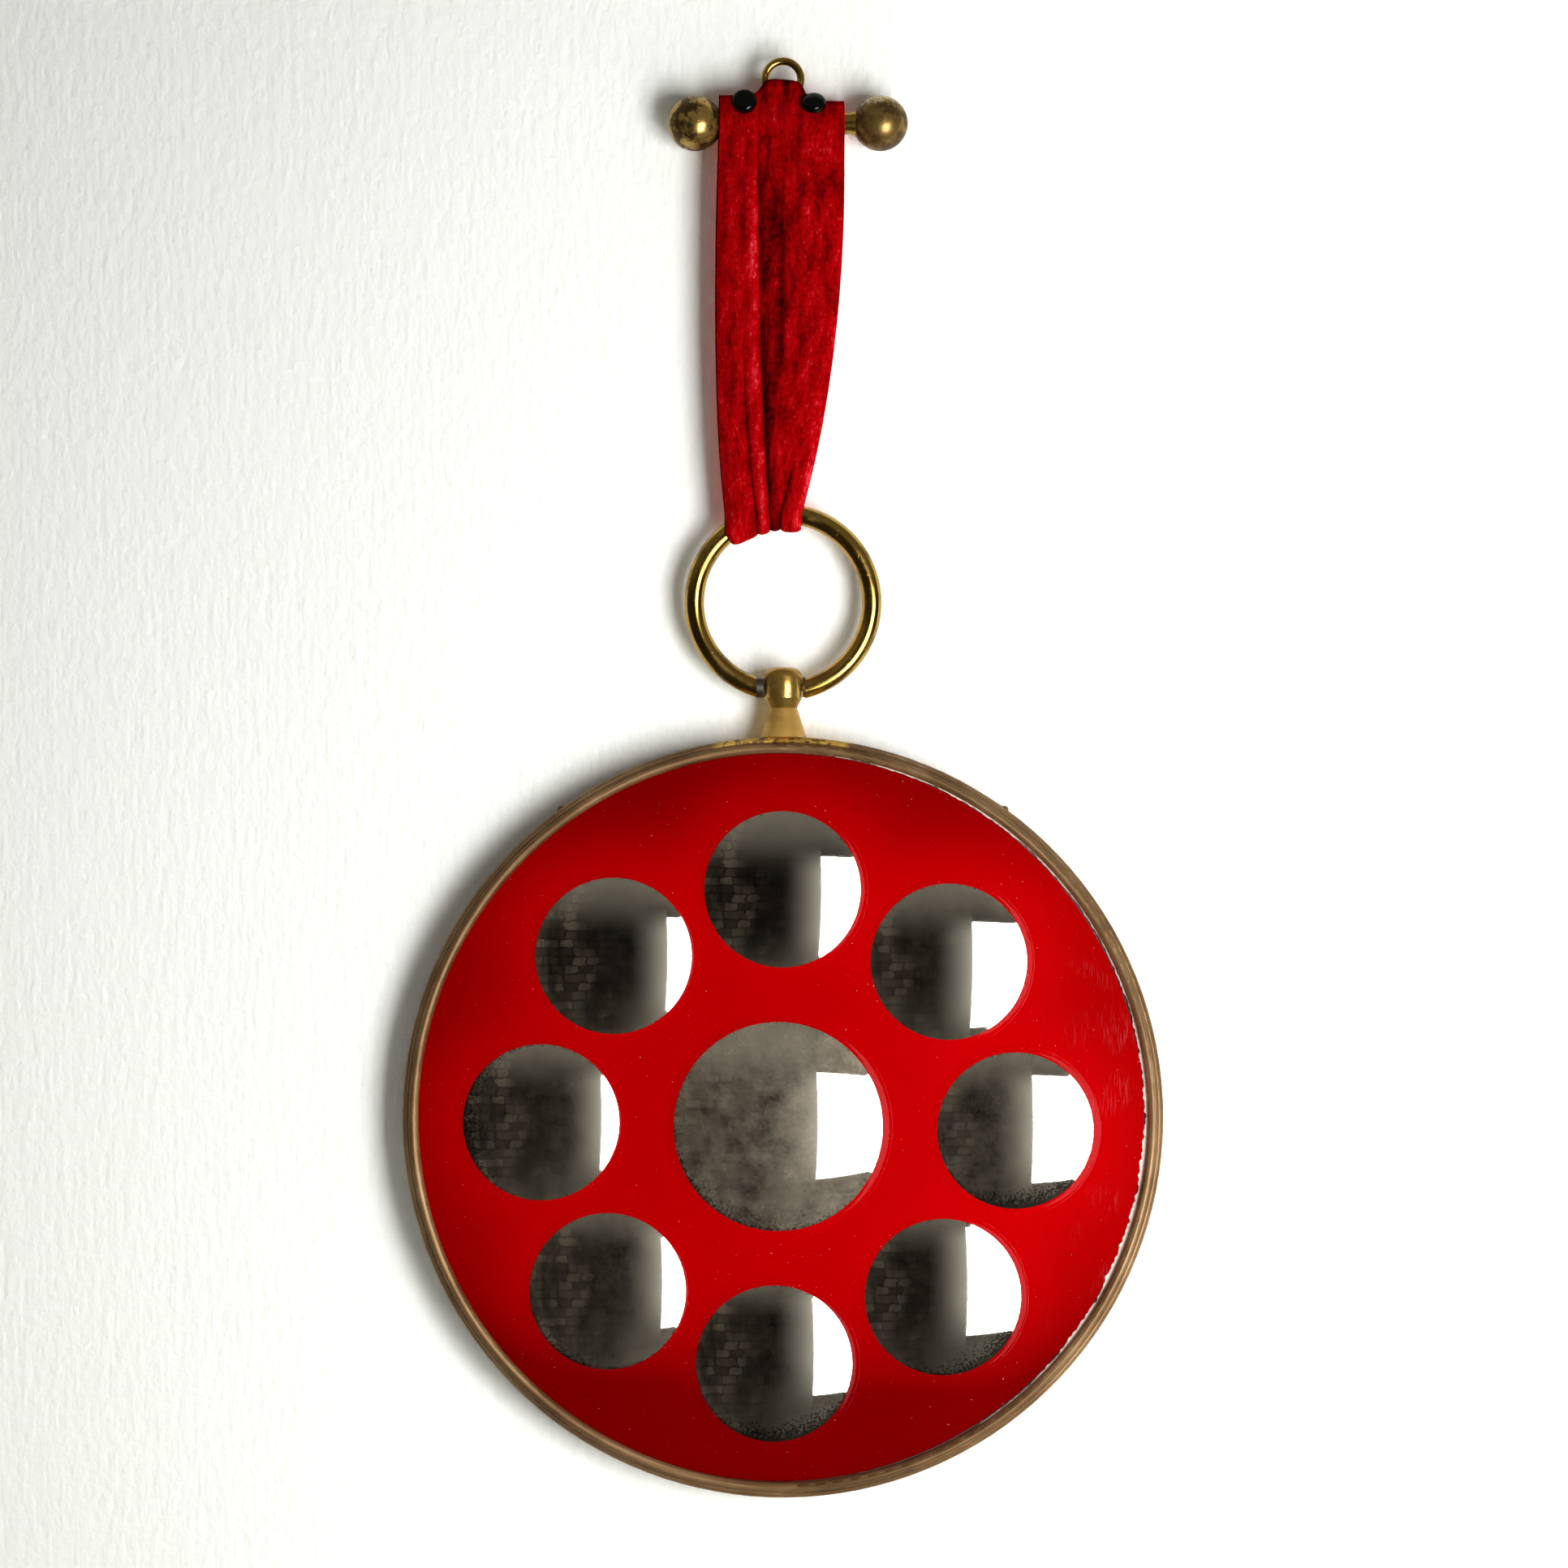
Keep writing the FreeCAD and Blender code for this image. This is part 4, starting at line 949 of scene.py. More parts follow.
@dataclass
class Ribbon:
    """One velvet strip: it stands up in front of the eye, hangs, turns round the bow and goes up behind."""

    rod_level: float = -17.5
    join_level: float = -166.0
    left: float = -25.3
    right: float = 24.3
    low_left: float = -23.0
    low_right: float = 8.4
    belly: float = 1.0
    rod_reach: float = 6.0
    bar_reach: float = 5.1
    thickness: float = 0.9
    bow_level: float = -207.0
    bow_radius: float = 35.1
    corner_left: float = 10.3
    corner_right: float = 6.3
    hump: float = 7.3
    columns: int = 150
    header_rows: int = 18
    front_rows: int = 150
    loop_rows: int = 34
    back_rows: int = 70
    # Weights in the pile mark: the first four are painted shade with the pile's lie, the next is painted
    # highlight on the crests, and the last two make the pile lighter at the right edge and the bottom end.
    crease_shade: float = 0.4
    pleat_shade: float = 0.9
    band_shade: float = 0.24
    line_shade: float = 0.4
    crest_highlight: float = 0.45
    edge_light: float = 0.35
    end_light: float = 0.12
    swell_top: float = 0.5
    swell_rise: float = 1.7
    swell_low: float = 0.8
    swell_power: float = 7.0
    full_depth: float = 2.6
    ripple_height: float = 0.16
    ripple_fall: float = 150.0
    front_upright: float = 4.9
    front_slope: float = 0.11
    slope_start: float = 3.6
    back_upright: float = 2.9
    corner_blend: float = 0.9
    dent_width: float = 1.6
    dent_depth: float = 0.5
    hump_left: float = -9.0
    hump_right: float = 8.6
    hump_left_width: float = 2.6
    hump_right_width: float = 2.2
    back_squeeze: float = 0.3
    grip: float = 0.4
    tuck: float = 2.6
    # Painted shade in the header, growing up to the top edge and in the dents.
    header_shade: float = 0.15
    top_shade: float = 0.45
    dent_shade: float = 0.5
    band_narrow: float = 1.3
    band_spread: float = 9.7
    line_place: float = 0.88
    line_width: float = 0.12
    crest_place: float = 2.3
    crest_width: float = 1.7

    creases = (
        Crease(-9.9, 3.9, 3.0, 2.6, -0.1, 0.25, 0.7, 1.6, 7.0),
        Crease(-16.5, 4.8, 4.0, 2.8, 0.45, 0.95, 0.8, 0.9),
        Crease(5.6, -4.6, 9.0, 2.8, 0.86, 1.0, 1.3, 0.9),
    )
    dents = (-8.0, 0.6, 8.2)
    ripple_lengths = (9.0, 13.0, 31.0, 6.1)

    def edges(self, fall: np.ndarray) -> tuple[np.ndarray, np.ndarray]:
        """Gives the ribbon's left and right edge at a share of the fall from the rod to the bow.

        The left edge bulges out a little by a sine, and the right one draws in by the power 2.5.
        """
        low = np.clip(fall, 0.0, 1.04)
        bulge = self.belly * np.sin(np.pi * np.minimum(low, 1))
        left = self.left + (self.low_left - self.left) * low ** 6 - bulge
        right = self.right + (self.low_right - self.right) * low ** 2.5
        return left, right

    def folds(self, x: np.ndarray, share: np.ndarray, fall: np.ndarray) -> tuple[np.ndarray, np.ndarray]:
        """Works out how far the cloth stands out, and how deep it lies in a crease.

        A flat swell with rounded ends grows down the ribbon, and each crease takes a notch out of it that
        falls off like 1 / (1 + (d / w)^2) on either side.

        Args:
            x: place across.
            share: place across as a share of the width.
            fall: share of the fall.

        Returns:
            The height of the cloth and the depth in the creases, from 0 to 1.
        """
        low = np.clip(fall, 0.0, 1.1)
        swell = self.swell_top + self.swell_rise * smooth(0.0, 0.3, low) + self.swell_low * low ** 2
        height = swell * (1 - np.abs(2 * share - 1) ** self.swell_power)
        depth = np.zeros(np.shape(x))
        for crease in self.creases:
            centre = crease.start + crease.shift * low ** crease.power
            right_side = crease.right_side + crease.spread * np.clip(1 - low, 0.0, 1.0) ** 0.8
            side = np.where(x < centre, crease.left_side, right_side)
            notch = 1 / (1 + ((x - centre) / side) ** 2)
            depth = depth + crease.depth * smooth(crease.fade_low, crease.fade_high, low) * notch
        uneven = self.ripple_height * ripple(x, fall * self.ripple_fall, self.ripple_lengths)
        height = np.maximum(height - depth, 0.0) + uneven
        return height, np.clip(depth / self.full_depth, 0.0, 1.0)

    def tone(self, x: np.ndarray, share: np.ndarray, fall: np.ndarray, depth: np.ndarray) -> np.ndarray:
        """Marks painted shade, with the pile's lie, in the creases and the band beside the first.

        Painted highlight lies on the crests, and the pile is lighter along the right edge and the bottom
        end.

        Args:
            x: place across.
            share: place across as a share of the width.
            fall: share of the fall.
            depth: depth in the creases, from 0 to 1.

        Returns:
            The mark, above 0 where the pile is dark and below 0 where it is light.
        """
        low = np.clip(fall, 0.0, 1.1)
        first = self.creases[0]
        past = x - first.start - first.shift * low ** first.power
        width = self.band_narrow + self.band_spread * (1 - smooth(0.5, 1.0, low))
        band = smooth(-0.3, 0.6, past) * (1 - smooth(0.7, 1.2, past / width)) * smooth(0.02, 0.25, low)
        line = np.exp(-((past / width - self.line_place) / self.line_width) ** 2)
        line = line * smooth(0.1, 0.3, low) * (1 - smooth(0.6, 0.85, low))
        crest = np.exp(-((past + self.crest_place) / self.crest_width) ** 2) * smooth(0.08, 0.25, low)
        edge = smooth(0.86, 0.99, share) * smooth(0.45, 0.85, low)
        end = smooth(0.75, 1.0, low)
        pleat = depth ** 2 * smooth(0.5, 0.9, low)
        dark = self.crease_shade * depth + self.pleat_shade * pleat
        dark = dark + self.band_shade * band + self.line_shade * line
        return dark - self.crest_highlight * crest - self.edge_light * edge - self.end_light * end

    def bar_level(self, x: np.ndarray) -> np.ndarray:
        """Gives the height of the bow's bar at a place across."""
        return self.bow_level + np.sqrt(self.bow_radius ** 2 - x ** 2)

    def top_edge(self, x: np.ndarray) -> np.ndarray:
        """Gives the top edge over the rod: it falls to the right and humps in front of the eye."""
        share = np.clip((x - self.left) / (self.right - self.left), 0.0, 1.0)
        base = self.corner_left + (self.corner_right - self.corner_left) * share ** 2.2
        climb = np.tanh((x - self.hump_left) / self.hump_left_width)
        drop = np.tanh((x - self.hump_right) / self.hump_right_width)
        return base + self.hump / 2 * (climb - drop)

    def header(self, share: np.ndarray, rise: np.ndarray, is_back: bool) -> tuple[np.ndarray, ...]:
        """Works out the part above the rod: round the rod, then nearly straight up, with dents.

        Args:
            share: place across as a share of the width.
            rise: share of the way from the rod to the top edge.
            is_back: whether this is the layer behind, which has no hump.

        Returns:
            Places across, reach from the middle plane, heights and pile marks with painted shade and light.
        """
        x = self.left + (self.right - self.left) * share + 0 * rise
        top = np.where(is_back, self.corner_left - 1.0 + 0 * x, self.top_edge(x))
        above = rise * top
        round_rod = np.sqrt(np.maximum(self.rod_reach ** 2 - above ** 2, 0.0))
        slope = self.front_slope * np.maximum(above - self.slope_start, 0.0)
        upright = self.back_upright if is_back else self.front_upright - slope
        blend = self.corner_blend * smooth(0.0, 0.35, rise)
        round_off = (round_rod + upright + np.sqrt((round_rod - upright) ** 2 + blend ** 2)) / 2
        dents = sum(np.exp(-((x - place) / self.dent_width) ** 2) for place in self.dents)
        dents = dents * smooth(0.3, 0.75, rise)
        level = np.zeros(np.shape(x))
        swell, depth = self.folds(x, share, level)
        reach = round_off + swell * (1 - 0.75 * rise) - self.dent_depth * dents
        # Painted shade towards the top edge and in the dents.
        shadow = self.header_shade * rise + self.top_shade * smooth(0.82, 1.0, rise)
        mark = self.tone(x, share, level, depth) + shadow + self.dent_shade * dents
        return x, reach, self.rod_level + above, mark

    def hanging(self, share: np.ndarray, down: np.ndarray) -> tuple[np.ndarray, ...]:
        """Works out a hanging layer from the rod to the level of the bow's bar.

        Args:
            share: place across as a share of the width.
            down: share of the way from the rod to the bar.

        Returns:
            Places across, reach from the middle plane, heights and pile marks with painted shade and light.
        """
        end = self.low_left + (self.low_right - self.low_left) * share
        z = self.rod_level + (self.bar_level(end) - self.rod_level) * down
        fall = (self.rod_level - z) / (self.rod_level - self.join_level)
        left, right = self.edges(fall)
        x = left + (right - left) * share
        height, depth = self.folds(x, share, fall)
        reach = self.rod_reach + (self.bar_reach - self.rod_reach) * np.clip(fall, 0.0, 1.0) + height
        return x, reach, z, self.tone(x, share, fall, depth)

    def points(self) -> tuple[np.ndarray, np.ndarray, np.ndarray]:
        """Joins header, front, loop and back into one strip.

        Returns:
            Points, places on the flat cloth, and pile marks with painted shade and light, row by row.
        """
        across = np.linspace(0.0, 1.0, self.columns)[None, :]
        rows = []
        for is_back in (False, True):
            rise = np.linspace(1.0, 0.0, self.header_rows, endpoint=False)[:, None]
            x, reach, z, mark = self.header(across, rise, is_back)
            down = np.linspace(0.0, 1.0, self.back_rows if is_back else self.front_rows)[:, None]
            hang_x, hang_reach, hang_z, hang_mark = self.hanging(across, down)
            squeeze = self.back_squeeze if is_back else 0.0
            hang_reach = hang_reach - squeeze * np.maximum(hang_reach - self.rod_reach, 0.0)
            layer = np.stack([np.concatenate([x, hang_x]), np.concatenate([reach, hang_reach]),
                              np.concatenate([z, hang_z]), np.concatenate([mark, hang_mark])], axis=-1)
            rows.append(layer)
        front, back = rows
        front[..., 1] *= -1
        turn = np.linspace(0.0, np.pi, self.loop_rows + 2)[1:-1, None]
        grip = 1 - self.grip * np.sin(turn) ** 1.5
        first, last = front[-1], back[-1]
        way = turn / np.pi
        swell = (-first[:, 1] - self.bar_reach) * (1 - way) + (last[:, 1] - self.bar_reach) * way
        radius = self.bar_reach + swell * grip
        loop_x = first[:, 0] * (1 - way) + last[:, 0] * way + self.tuck * np.sin(turn) * (1 - across) ** 3
        level = self.bar_level(loop_x)
        loop = np.stack([loop_x, -radius * np.cos(turn), level - radius * np.sin(turn),
                         first[:, 3] + 0 * turn], axis=-1)
        strip = np.concatenate([front, loop, back[::-1]])
        steps = np.linalg.norm(np.diff(strip[..., :3], axis=0), axis=-1).mean(axis=1)
        along = np.concatenate([[0.0], np.cumsum(steps)])[:, None]
        cloth = np.stack([across * (self.right - self.left) + 0 * along, along + 0 * across], axis=-1)
        return strip[..., :3].reshape(-1, 3), cloth.reshape(-1, 2), strip[..., 3].ravel()

    def build(self, velvet: Material) -> Piece:
        points, cloth, mark = self.points()
        rows = len(points) // self.columns
        faces = grid_faces(rows, self.columns)
        piece = make_piece("velvet_ribbon", points, faces, (velvet,), "hanger",
                           {"pile_and_shade": mark}, cloth=cloth)
        wall = piece.modifiers.new("cloth_thickness", "SOLIDIFY")
        wall.thickness = self.thickness * MM
        wall.offset = -1.0
        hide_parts("ribbon_front", "ribbon_back", "ribbon_loop")
        return piece


# Snap caps and putty

@dataclass
class SnapCaps:
    """The two pressed caps: nearly flat on top with a rounded rim, leaning back like the ribbon's top."""

    lean_left: float = 18.0
    lean_right: float = 40.0
    seat: float = -5.56
    skirt: float = 0.5
    wall: float = 0.4
    roundness: float = 2 / 3
    top_rings: int = 14
    skirt_rings: int = 3

    def points(self, name: str, lean: float) -> np.ndarray:
        """Works out one cap: r = R sin(t)^(2/3) and h = H cos(t)^(2/3) for its top, then a straight skirt.

        It leans about the middle of its top, which stays where the solid has it.

        Args:
            name: the solid that it stands for.
            lean: degrees by which it leans back.

        Returns:
            Its points, row by row.
        """
        low, high = node_box(name)
        ring, angle = disc_grid(self.top_rings + self.skirt_rings)
        turn = np.minimum(ring / self.top_rings, 1.0) * np.pi / 2
        radius = (high[0] - low[0]) / 2 * np.sin(turn) ** self.roundness
        under = np.maximum(ring - self.top_rings, 0.0) / self.skirt_rings
        dome = self.seat - low[1] - self.skirt
        height = self.skirt * (1 - under) + dome * np.maximum(np.cos(turn), 0.0) ** self.roundness
        tilt = math.radians(lean)
        front = np.array((0.0, -math.cos(tilt), math.sin(tilt)))
        upward = np.array((0.0, math.sin(tilt), math.cos(tilt)))
        middle = np.array(((low[0] + high[0]) / 2, low[1], (low[2] + high[2]) / 2))
        rise = height - self.skirt - dome
        across = np.stack([radius * np.cos(angle), 0 * radius, 0 * radius], axis=-1)
        points = middle + across + (radius * np.sin(angle))[..., None] * upward + rise[..., None] * front
        return points.reshape(-1, 3)

    def build(self, enamel: Material) -> Piece:
        """Makes both caps as one piece of pressed sheet."""
        points = np.concatenate([self.points("snap_cap_left", self.lean_left),
                                 self.points("snap_cap_right", self.lean_right)])
        side = 2 * (self.top_rings + self.skirt_rings) + 1
        faces = grid_faces(side, side)
        piece = make_piece("snap_caps", points, np.concatenate([faces, faces + side * side]), (enamel,),
                           "hanger")
        shell = piece.modifiers.new("sheet_thickness", "SOLIDIFY")
        shell.thickness = self.wall * MM
        shell.offset = -1.0
        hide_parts("snap_cap_left", "snap_cap_right")
        return piece


@dataclass
class GlazingRing:
    """The line of old putty between glass and bead, widest on the right, where it is chipped."""

    bead_inside: float = 143.75
    outside: float = 147.8
    proud: float = 0.15
    depth: float = 2.0
    steps: int = 1440
    chip_share: float = 0.35
    crumb_share: float = 0.3
    hidden: float = 0.4
    lip: float = 0.2
    lip_drop: float = 0.1

    chip_counts = (23, 37, 61)
    crumb_counts = (131, 211, 317)
    bulges = ((-14.0, 38.0, 1.9), (58.0, 32.0, 0.85))

    def shown(self, angle: np.ndarray) -> np.ndarray:
        """Gives how far the putty shows inside the bead: broad bulges, broken by waves round the ring."""
        turn = np.degrees(angle)
        broad = sum(high * np.exp(-((turn - place) / wide) ** 2) for place, wide, high in self.bulges)
        chips = sum(np.sin(count * angle + count) for count in self.chip_counts) / len(self.chip_counts)
        crumbs = sum(np.sin(count * angle + count) for count in self.crumb_counts) / len(self.crumb_counts)
        return broad * (1 + self.chip_share * chips + self.crumb_share * crumbs) - self.hidden

    def build(self, putty: Material) -> Piece:
        """Makes the ring: over the glass, down the ragged inner edge and back under the bead."""
        low, high = node_box("frame_bead")
        middle = (low + high) / 2
        front = node_box("glazing_putty")[0][1]
        angle = np.linspace(-np.pi, np.pi, self.steps, endpoint=False)[None, :]
        inner = self.bead_inside - self.shown(angle)
        outer = self.outside + 0 * angle
        radius = np.concatenate([outer, inner + self.lip, inner, inner, outer])
        levels = front + np.array((-self.proud, -self.proud, self.lip_drop - self.proud, self.depth,
                                   self.depth))
        y = levels[:, None] + 0 * radius
        points = np.stack([middle[0] + radius * np.cos(angle), y, middle[2] + radius * np.sin(angle)],
                          axis=-1)
        piece = make_piece("putty_line", points.reshape(-1, 3), grid_faces(len(levels), self.steps,
                                                                           is_closed=True),
                           (putty,), "mirror")
        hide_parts("glazing_putty")
        return piece


# Frame, bow and hanger, which keep their solids

@dataclass
class Metalwork:
    """The brass, steel and backing pieces, which keep the solids' shapes."""

    polished: AgedBrass = AgedBrass("polished_brass_aged")
    mottled: AgedBrass = AgedBrass("brass_mottled_tarnish", bright="#c29c54", dull="#5a4420", dull_low=0.48,
                                   dull_high=0.56, cloud_mm=5.0, shine=0.24, tarnish=0.4, pit_mm=1.3,
                                   pit_level=0.63, metal=0.85)
    dull: AgedBrass = AgedBrass("brass_olive_patina", bright="#967741", dull="#634b25", dull_low=0.42,
                                dull_high=0.58, shine=0.32, tarnish=0.46, cloud_mm=6.0, pit_level=0.68,
                                rubbed_level=-14.0, metal=0.75)
    satin: AgedBrass = AgedBrass("turned_brass_satin", bright="#d3a954", dull="#a8833c", shine=0.2,
                                 tarnish=0.3, metal=0.82)
    matte: AgedBrass = AgedBrass("turned_brass_matte", bright="#d8ad58", dull="#bd9346", shine=0.36,
                                 tarnish=0.46, pit_mm=2.2, pit_level=0.75, metal=0.5)
    steel: TurnedSteel = TurnedSteel("turned_steel_dull")
    plywood: BarePlywood = BarePlywood("bare_plywood")
    card: GreyCard = GreyCard("grey_pulp_card")

    def dress_all(self) -> None:
        """Gives every kept solid its finish."""
        low, high = node_box("frame_band")
        patina = BrownPatina("brown_patina_brass", middle=tuple((low + high) / 2)).material()
        dress(self.polished.material(), "hanging_eye", "hanger_rod", "finial_collar_left",
              "finial_collar_right", "bow_ring")
        dress(self.mottled.material(), "finial_left")
        dress(self.dull.material(), "finial_right", "pivot_washer", "frame_nails")
        dress(self.satin.material(), "pendant_ball")
        dress(self.matte.material(), "pendant_cone")
        dress(patina, "frame_band", "frame_bead")
        dress(self.steel.material(), "finial_studs", "pivot_pin", "pivot_sleeve", "pendant_stud")
        dress(self.plywood.material(), "backing_board")
        dress(self.card.material(), "packing_sheet")


# Studio

@dataclass
class Studio:
    """Camera, lights, pale wall and floor, and the dark room that the mirrors show."""

    aim: tuple[float, float, float] = (0.4, 0.0, -278.8)
    distance: float = 1800.0
    view_width: float = 620.2
    sensor: float = 36.0
    wall_half: float = 1600.0
    floor_level: float = -760.0
    room_radius: float = 2300.0
    lamp_left: float = 245.0
    lamp_right: float = 760.0
    lamp_depth: float = 880.0
    lamp_level: float = -480.0
    lamp_height: float = 690.0
    lamp_power: float = 13.0
    bounce_power: float = 5.0
    back_power: float = 11.0
    wall_gap: float = 12.0
    fill: float = 0.14
    wall_lift: float = 1.5
    screen_left: float = -20.0
    screen_top: float = -60.0
    screen_bottom: float = -950.0
    bounce_place: tuple[float, float, float] = (60.0, -700.0, -1080.0)
    bounce_tilt: float = 132.0
    bounce_size: tuple[float, float] = (1400.0, 500.0)
    back_distance: float = 1000.0
    back_size: tuple[float, float] = (1200.0, 1200.0)
    backdrop: float = 0.95
    room_level: float = -410.0
    room_turn: float = 1.45
    room_lift: float = 1.2
    room_columns: int = 49
    room_rows: int = 41
    world_colour: str = "#f7f3e8"
    wall_colour: str = "#eceeea"
    floor_colour: str = "#e8e8e4"
    screen_colour: str = "#f4efe2"
    brick_light: str = "#84796a"
    brick_dark: str = "#3a332a"
    mortar: str = "#2a241d"
    ceiling_colour: str = "#d2cbbc"
    wall_clearance: float = 0.1
    brush_mm: float = 3.0
    grain_mm: float = 4.0
    brush_strength: float = 0.45
    brush_depth: float = 1.2
    screen_fade_top: float = 200.0
    screen_fade_bottom: float = 400.0
    screen_falloff: float = 2.2
    screen_most: float = 0.5
    brush_stretch: float = 0.22
    grain_share: float = 1.2
    brick_bend: tuple[float, float, float] = (0.16, 0.1, 0.0)
    brick_width: float = 0.2
    brick_height: float = 0.13
    mortar_size: float = 0.01
    block_stretch: float = 0.3
    block_range: Span = (0.4, 0.6)
    block_light: Span = (0.1, 1.0)
    left_range: Span = (-0.9, -0.15)
    left_light: Span = (0.36, 0.04)
    over_range: Span = (-0.15, 0.8)
    over_light: float = 0.24
    right_range: Span = (-0.2, 0.7)
    right_light: Span = (0.015, 0.15)
    under_range: Span = (-0.8, -1.5)

    def build(self) -> None:
        """Sets up the whole studio."""
        scene = bpy.context.scene
        scene.view_settings.view_transform = "Standard"
        self.build_camera(scene)
        self.build_world(scene)
        self.build_lamps()
        self.build_wall()
        self.build_floor()
        self.build_room()
        self.build_screen()

    def build_camera(self, scene: bpy.types.Scene) -> None:
        """Puts the camera square in front of the wall, level with the middle of the picture."""
        data = bpy.data.cameras.new("camera")
        data.sensor_width = self.sensor
        data.lens = self.sensor * self.distance / self.view_width
        camera = bpy.data.objects.new("camera", data)
        camera.location = (Vector(self.aim) + Vector((0.0, -self.distance, 0.0))) * MM
        camera.rotation_euler = (math.pi / 2, 0.0, 0.0)
        scene.collection.objects.link(camera)
        scene.camera = camera

    def build_world(self, scene: bpy.types.Scene) -> None:
        """Fills the room with even pale light."""
        world = bpy.data.worlds.new("studio")
        world.use_nodes = True
        tree = world.node_tree
        tree.nodes.clear()
        rays = add(tree, "LightPath")
        seen = add(tree, "Mix", {"Factor": rays.outputs["Is Camera Ray"], 2: self.fill,
                                 3: self.backdrop}).outputs[0]
        light = add(tree, "Background", {"Color": linear(self.world_colour), "Strength": seen})
        add(tree, "OutputWorld", {"Surface": light.outputs[0]})
        scene.world = world

    def build_lamps(self) -> None:
        """Hangs a softbox on the right, the floor's bounce below and a lamp for the back."""
        middle = ((self.lamp_left + self.lamp_right) / 2, -self.lamp_depth, self.lamp_level)
        size = (self.lamp_right - self.lamp_left, self.lamp_height)
        self.hang_lamp("softbox", self.lamp_power, middle, 90.0, size)
        bounce = self.hang_lamp("floor_bounce", self.bounce_power, self.bounce_place, self.bounce_tilt,
                                self.bounce_size)
        bounce.visible_glossy = False
        behind = self.hang_lamp("back_light", self.back_power, (0.0, self.back_distance, self.aim[2]),
                                -90.0, self.back_size)
        behind.visible_glossy = False

    def hang_lamp(self, name: str, power: float, place: Sequence[float], turn: float,
                  size: Sequence[float]) -> Piece:
        """Hangs one rectangular lamp, which the camera doesn't see.

        Args:
            name: its name.
            power: its power in watts.
            place: its middle.
            turn: degrees by which it is turned up from shining straight down.
            size: its width and height.

        Returns:
            The lamp.
        """
        data = bpy.data.lights.new(name, "AREA")
        data.shape = "RECTANGLE"
        data.energy = power
        data.size = size[0] * MM
        data.size_y = size[1] * MM
        lamp = bpy.data.objects.new(name, data)
        lamp.location = Vector(place) * MM
        lamp.rotation_euler = (math.radians(turn), 0.0, 0.0)
        lamp.visible_camera = False
        bpy.context.scene.collection.objects.link(lamp)
        return lamp

    def sheet(self, name: str, points: np.ndarray, material: Material,
              faces: Sequence[Sequence[int]] = ((0, 1, 2, 3),)) -> Piece:
        """Makes one stage piece, a flat sheet of four corners unless its faces are given."""
        mesh = bpy.data.meshes.new(name)
        mesh.from_pydata(points * MM, [], faces)
        mesh.materials.append(material)
        piece = bpy.data.objects.new(name, mesh)
        bpy.context.scene.collection.objects.link(piece)
        return piece

    def one_sided(self, name: str, colour: str, is_brushed: bool) -> Material:
        """Makes pale paint that shows only from its front and lets light through to what is close to it.

        Args:
            name: the material's name.
            colour: sRGB hex colour.
            is_brushed: whether upright brush strokes show.

        Returns:
            The material.
        """
        material, tree = blank_material(name)
        place = object_place(tree)
        drawn = calc_vector(tree, "MULTIPLY", place, (1.0, 1.0, self.brush_stretch))
        brush = noise(tree, drawn, self.brush_mm, 4.0)
        grain = noise(tree, place, self.grain_mm, 4.0)
        height = calc(tree, "MULTIPLY_ADD", grain, self.grain_share, brush)
        relief = dented(tree, height, self.brush_strength if is_brushed else 0.0, self.brush_depth)
        rays = add(tree, "LightPath")
        lift = add(tree, "Mix", {"Factor": rays.outputs["Is Camera Ray"], 2: 1.0,
                                 3: self.wall_lift}).outputs[0]
        pale = add(tree, "VectorMath", {0: linear(colour)[:3], "Scale": lift}, operation="SCALE").outputs[0]
        paint = add(tree, "BsdfDiffuse", {"Color": pale, "Normal": relief})
        clear = add(tree, "BsdfTransparent")
        back = add(tree, "NewGeometry").outputs["Backfacing"]
        close = calc(tree, "LESS_THAN", rays.outputs["Ray Length"], self.wall_gap * MM)
        light = calc(tree, "MAXIMUM", rays.outputs["Is Diffuse Ray"], rays.outputs["Is Shadow Ray"])
        passed = calc(tree, "MULTIPLY_ADD", close, light, back, use_clamp=True)
        both = add(tree, "MixShader", {0: passed, 1: paint.outputs[0], 2: clear.outputs[0]})
        add(tree, "OutputMaterial", {"Surface": both.outputs[0]})
        return material

    def build_wall(self) -> None:
        """Puts the plaster wall just behind the frame's back."""
        high = node_box("frame_band")[1]
        y = high[1] + self.wall_clearance
        half = self.wall_half
        corners = np.array([(-half, y, -half), (half, y, -half), (half, y, half), (-half, y, half)])
        self.sheet("wall", corners, self.one_sided("painted_plaster", self.wall_colour, True))

    def build_floor(self) -> None:
        """Lays a pale floor under the wall."""
        half, z = self.wall_half, self.floor_level
        corners = np.array([(-half, -2 * half, z), (half, -2 * half, z), (half, half, z), (-half, half, z)])
        floor = self.sheet("floor", corners, self.one_sided("pale_floor", self.floor_colour, False))
        floor.visible_glossy = False

    def build_room(self) -> None:
        """Stands a dark half dome round the front, which only reflections see.

        A point of it is the radius times (sin a cos b, -cos a cos b, sin b) for a turn a and a lift b.
        """
        turn = np.linspace(-self.room_turn, self.room_turn, self.room_columns)[None, :]
        lift = np.linspace(-self.room_lift, self.room_lift, self.room_rows)[:, None]
        shape = np.stack([np.sin(turn) * np.cos(lift), -np.cos(turn) * np.cos(lift),
                          np.sin(lift) + 0 * turn], -1)
        points = shape.reshape(-1, 3) * self.room_radius + np.array((0.0, 0.0, self.room_level))
        faces = grid_faces(self.room_rows, self.room_columns).tolist()
        room = self.sheet("dark_room", points, self.room_finish(), faces)
        self.only_mirrored(room)

    def only_mirrored(self, piece: Piece) -> None:
        """Hides a stage piece from everything but reflections."""
        piece.visible_camera = False
        piece.visible_diffuse = False
        piece.visible_shadow = False
        piece.visible_transmission = False
        piece.visible_volume_scatter = False

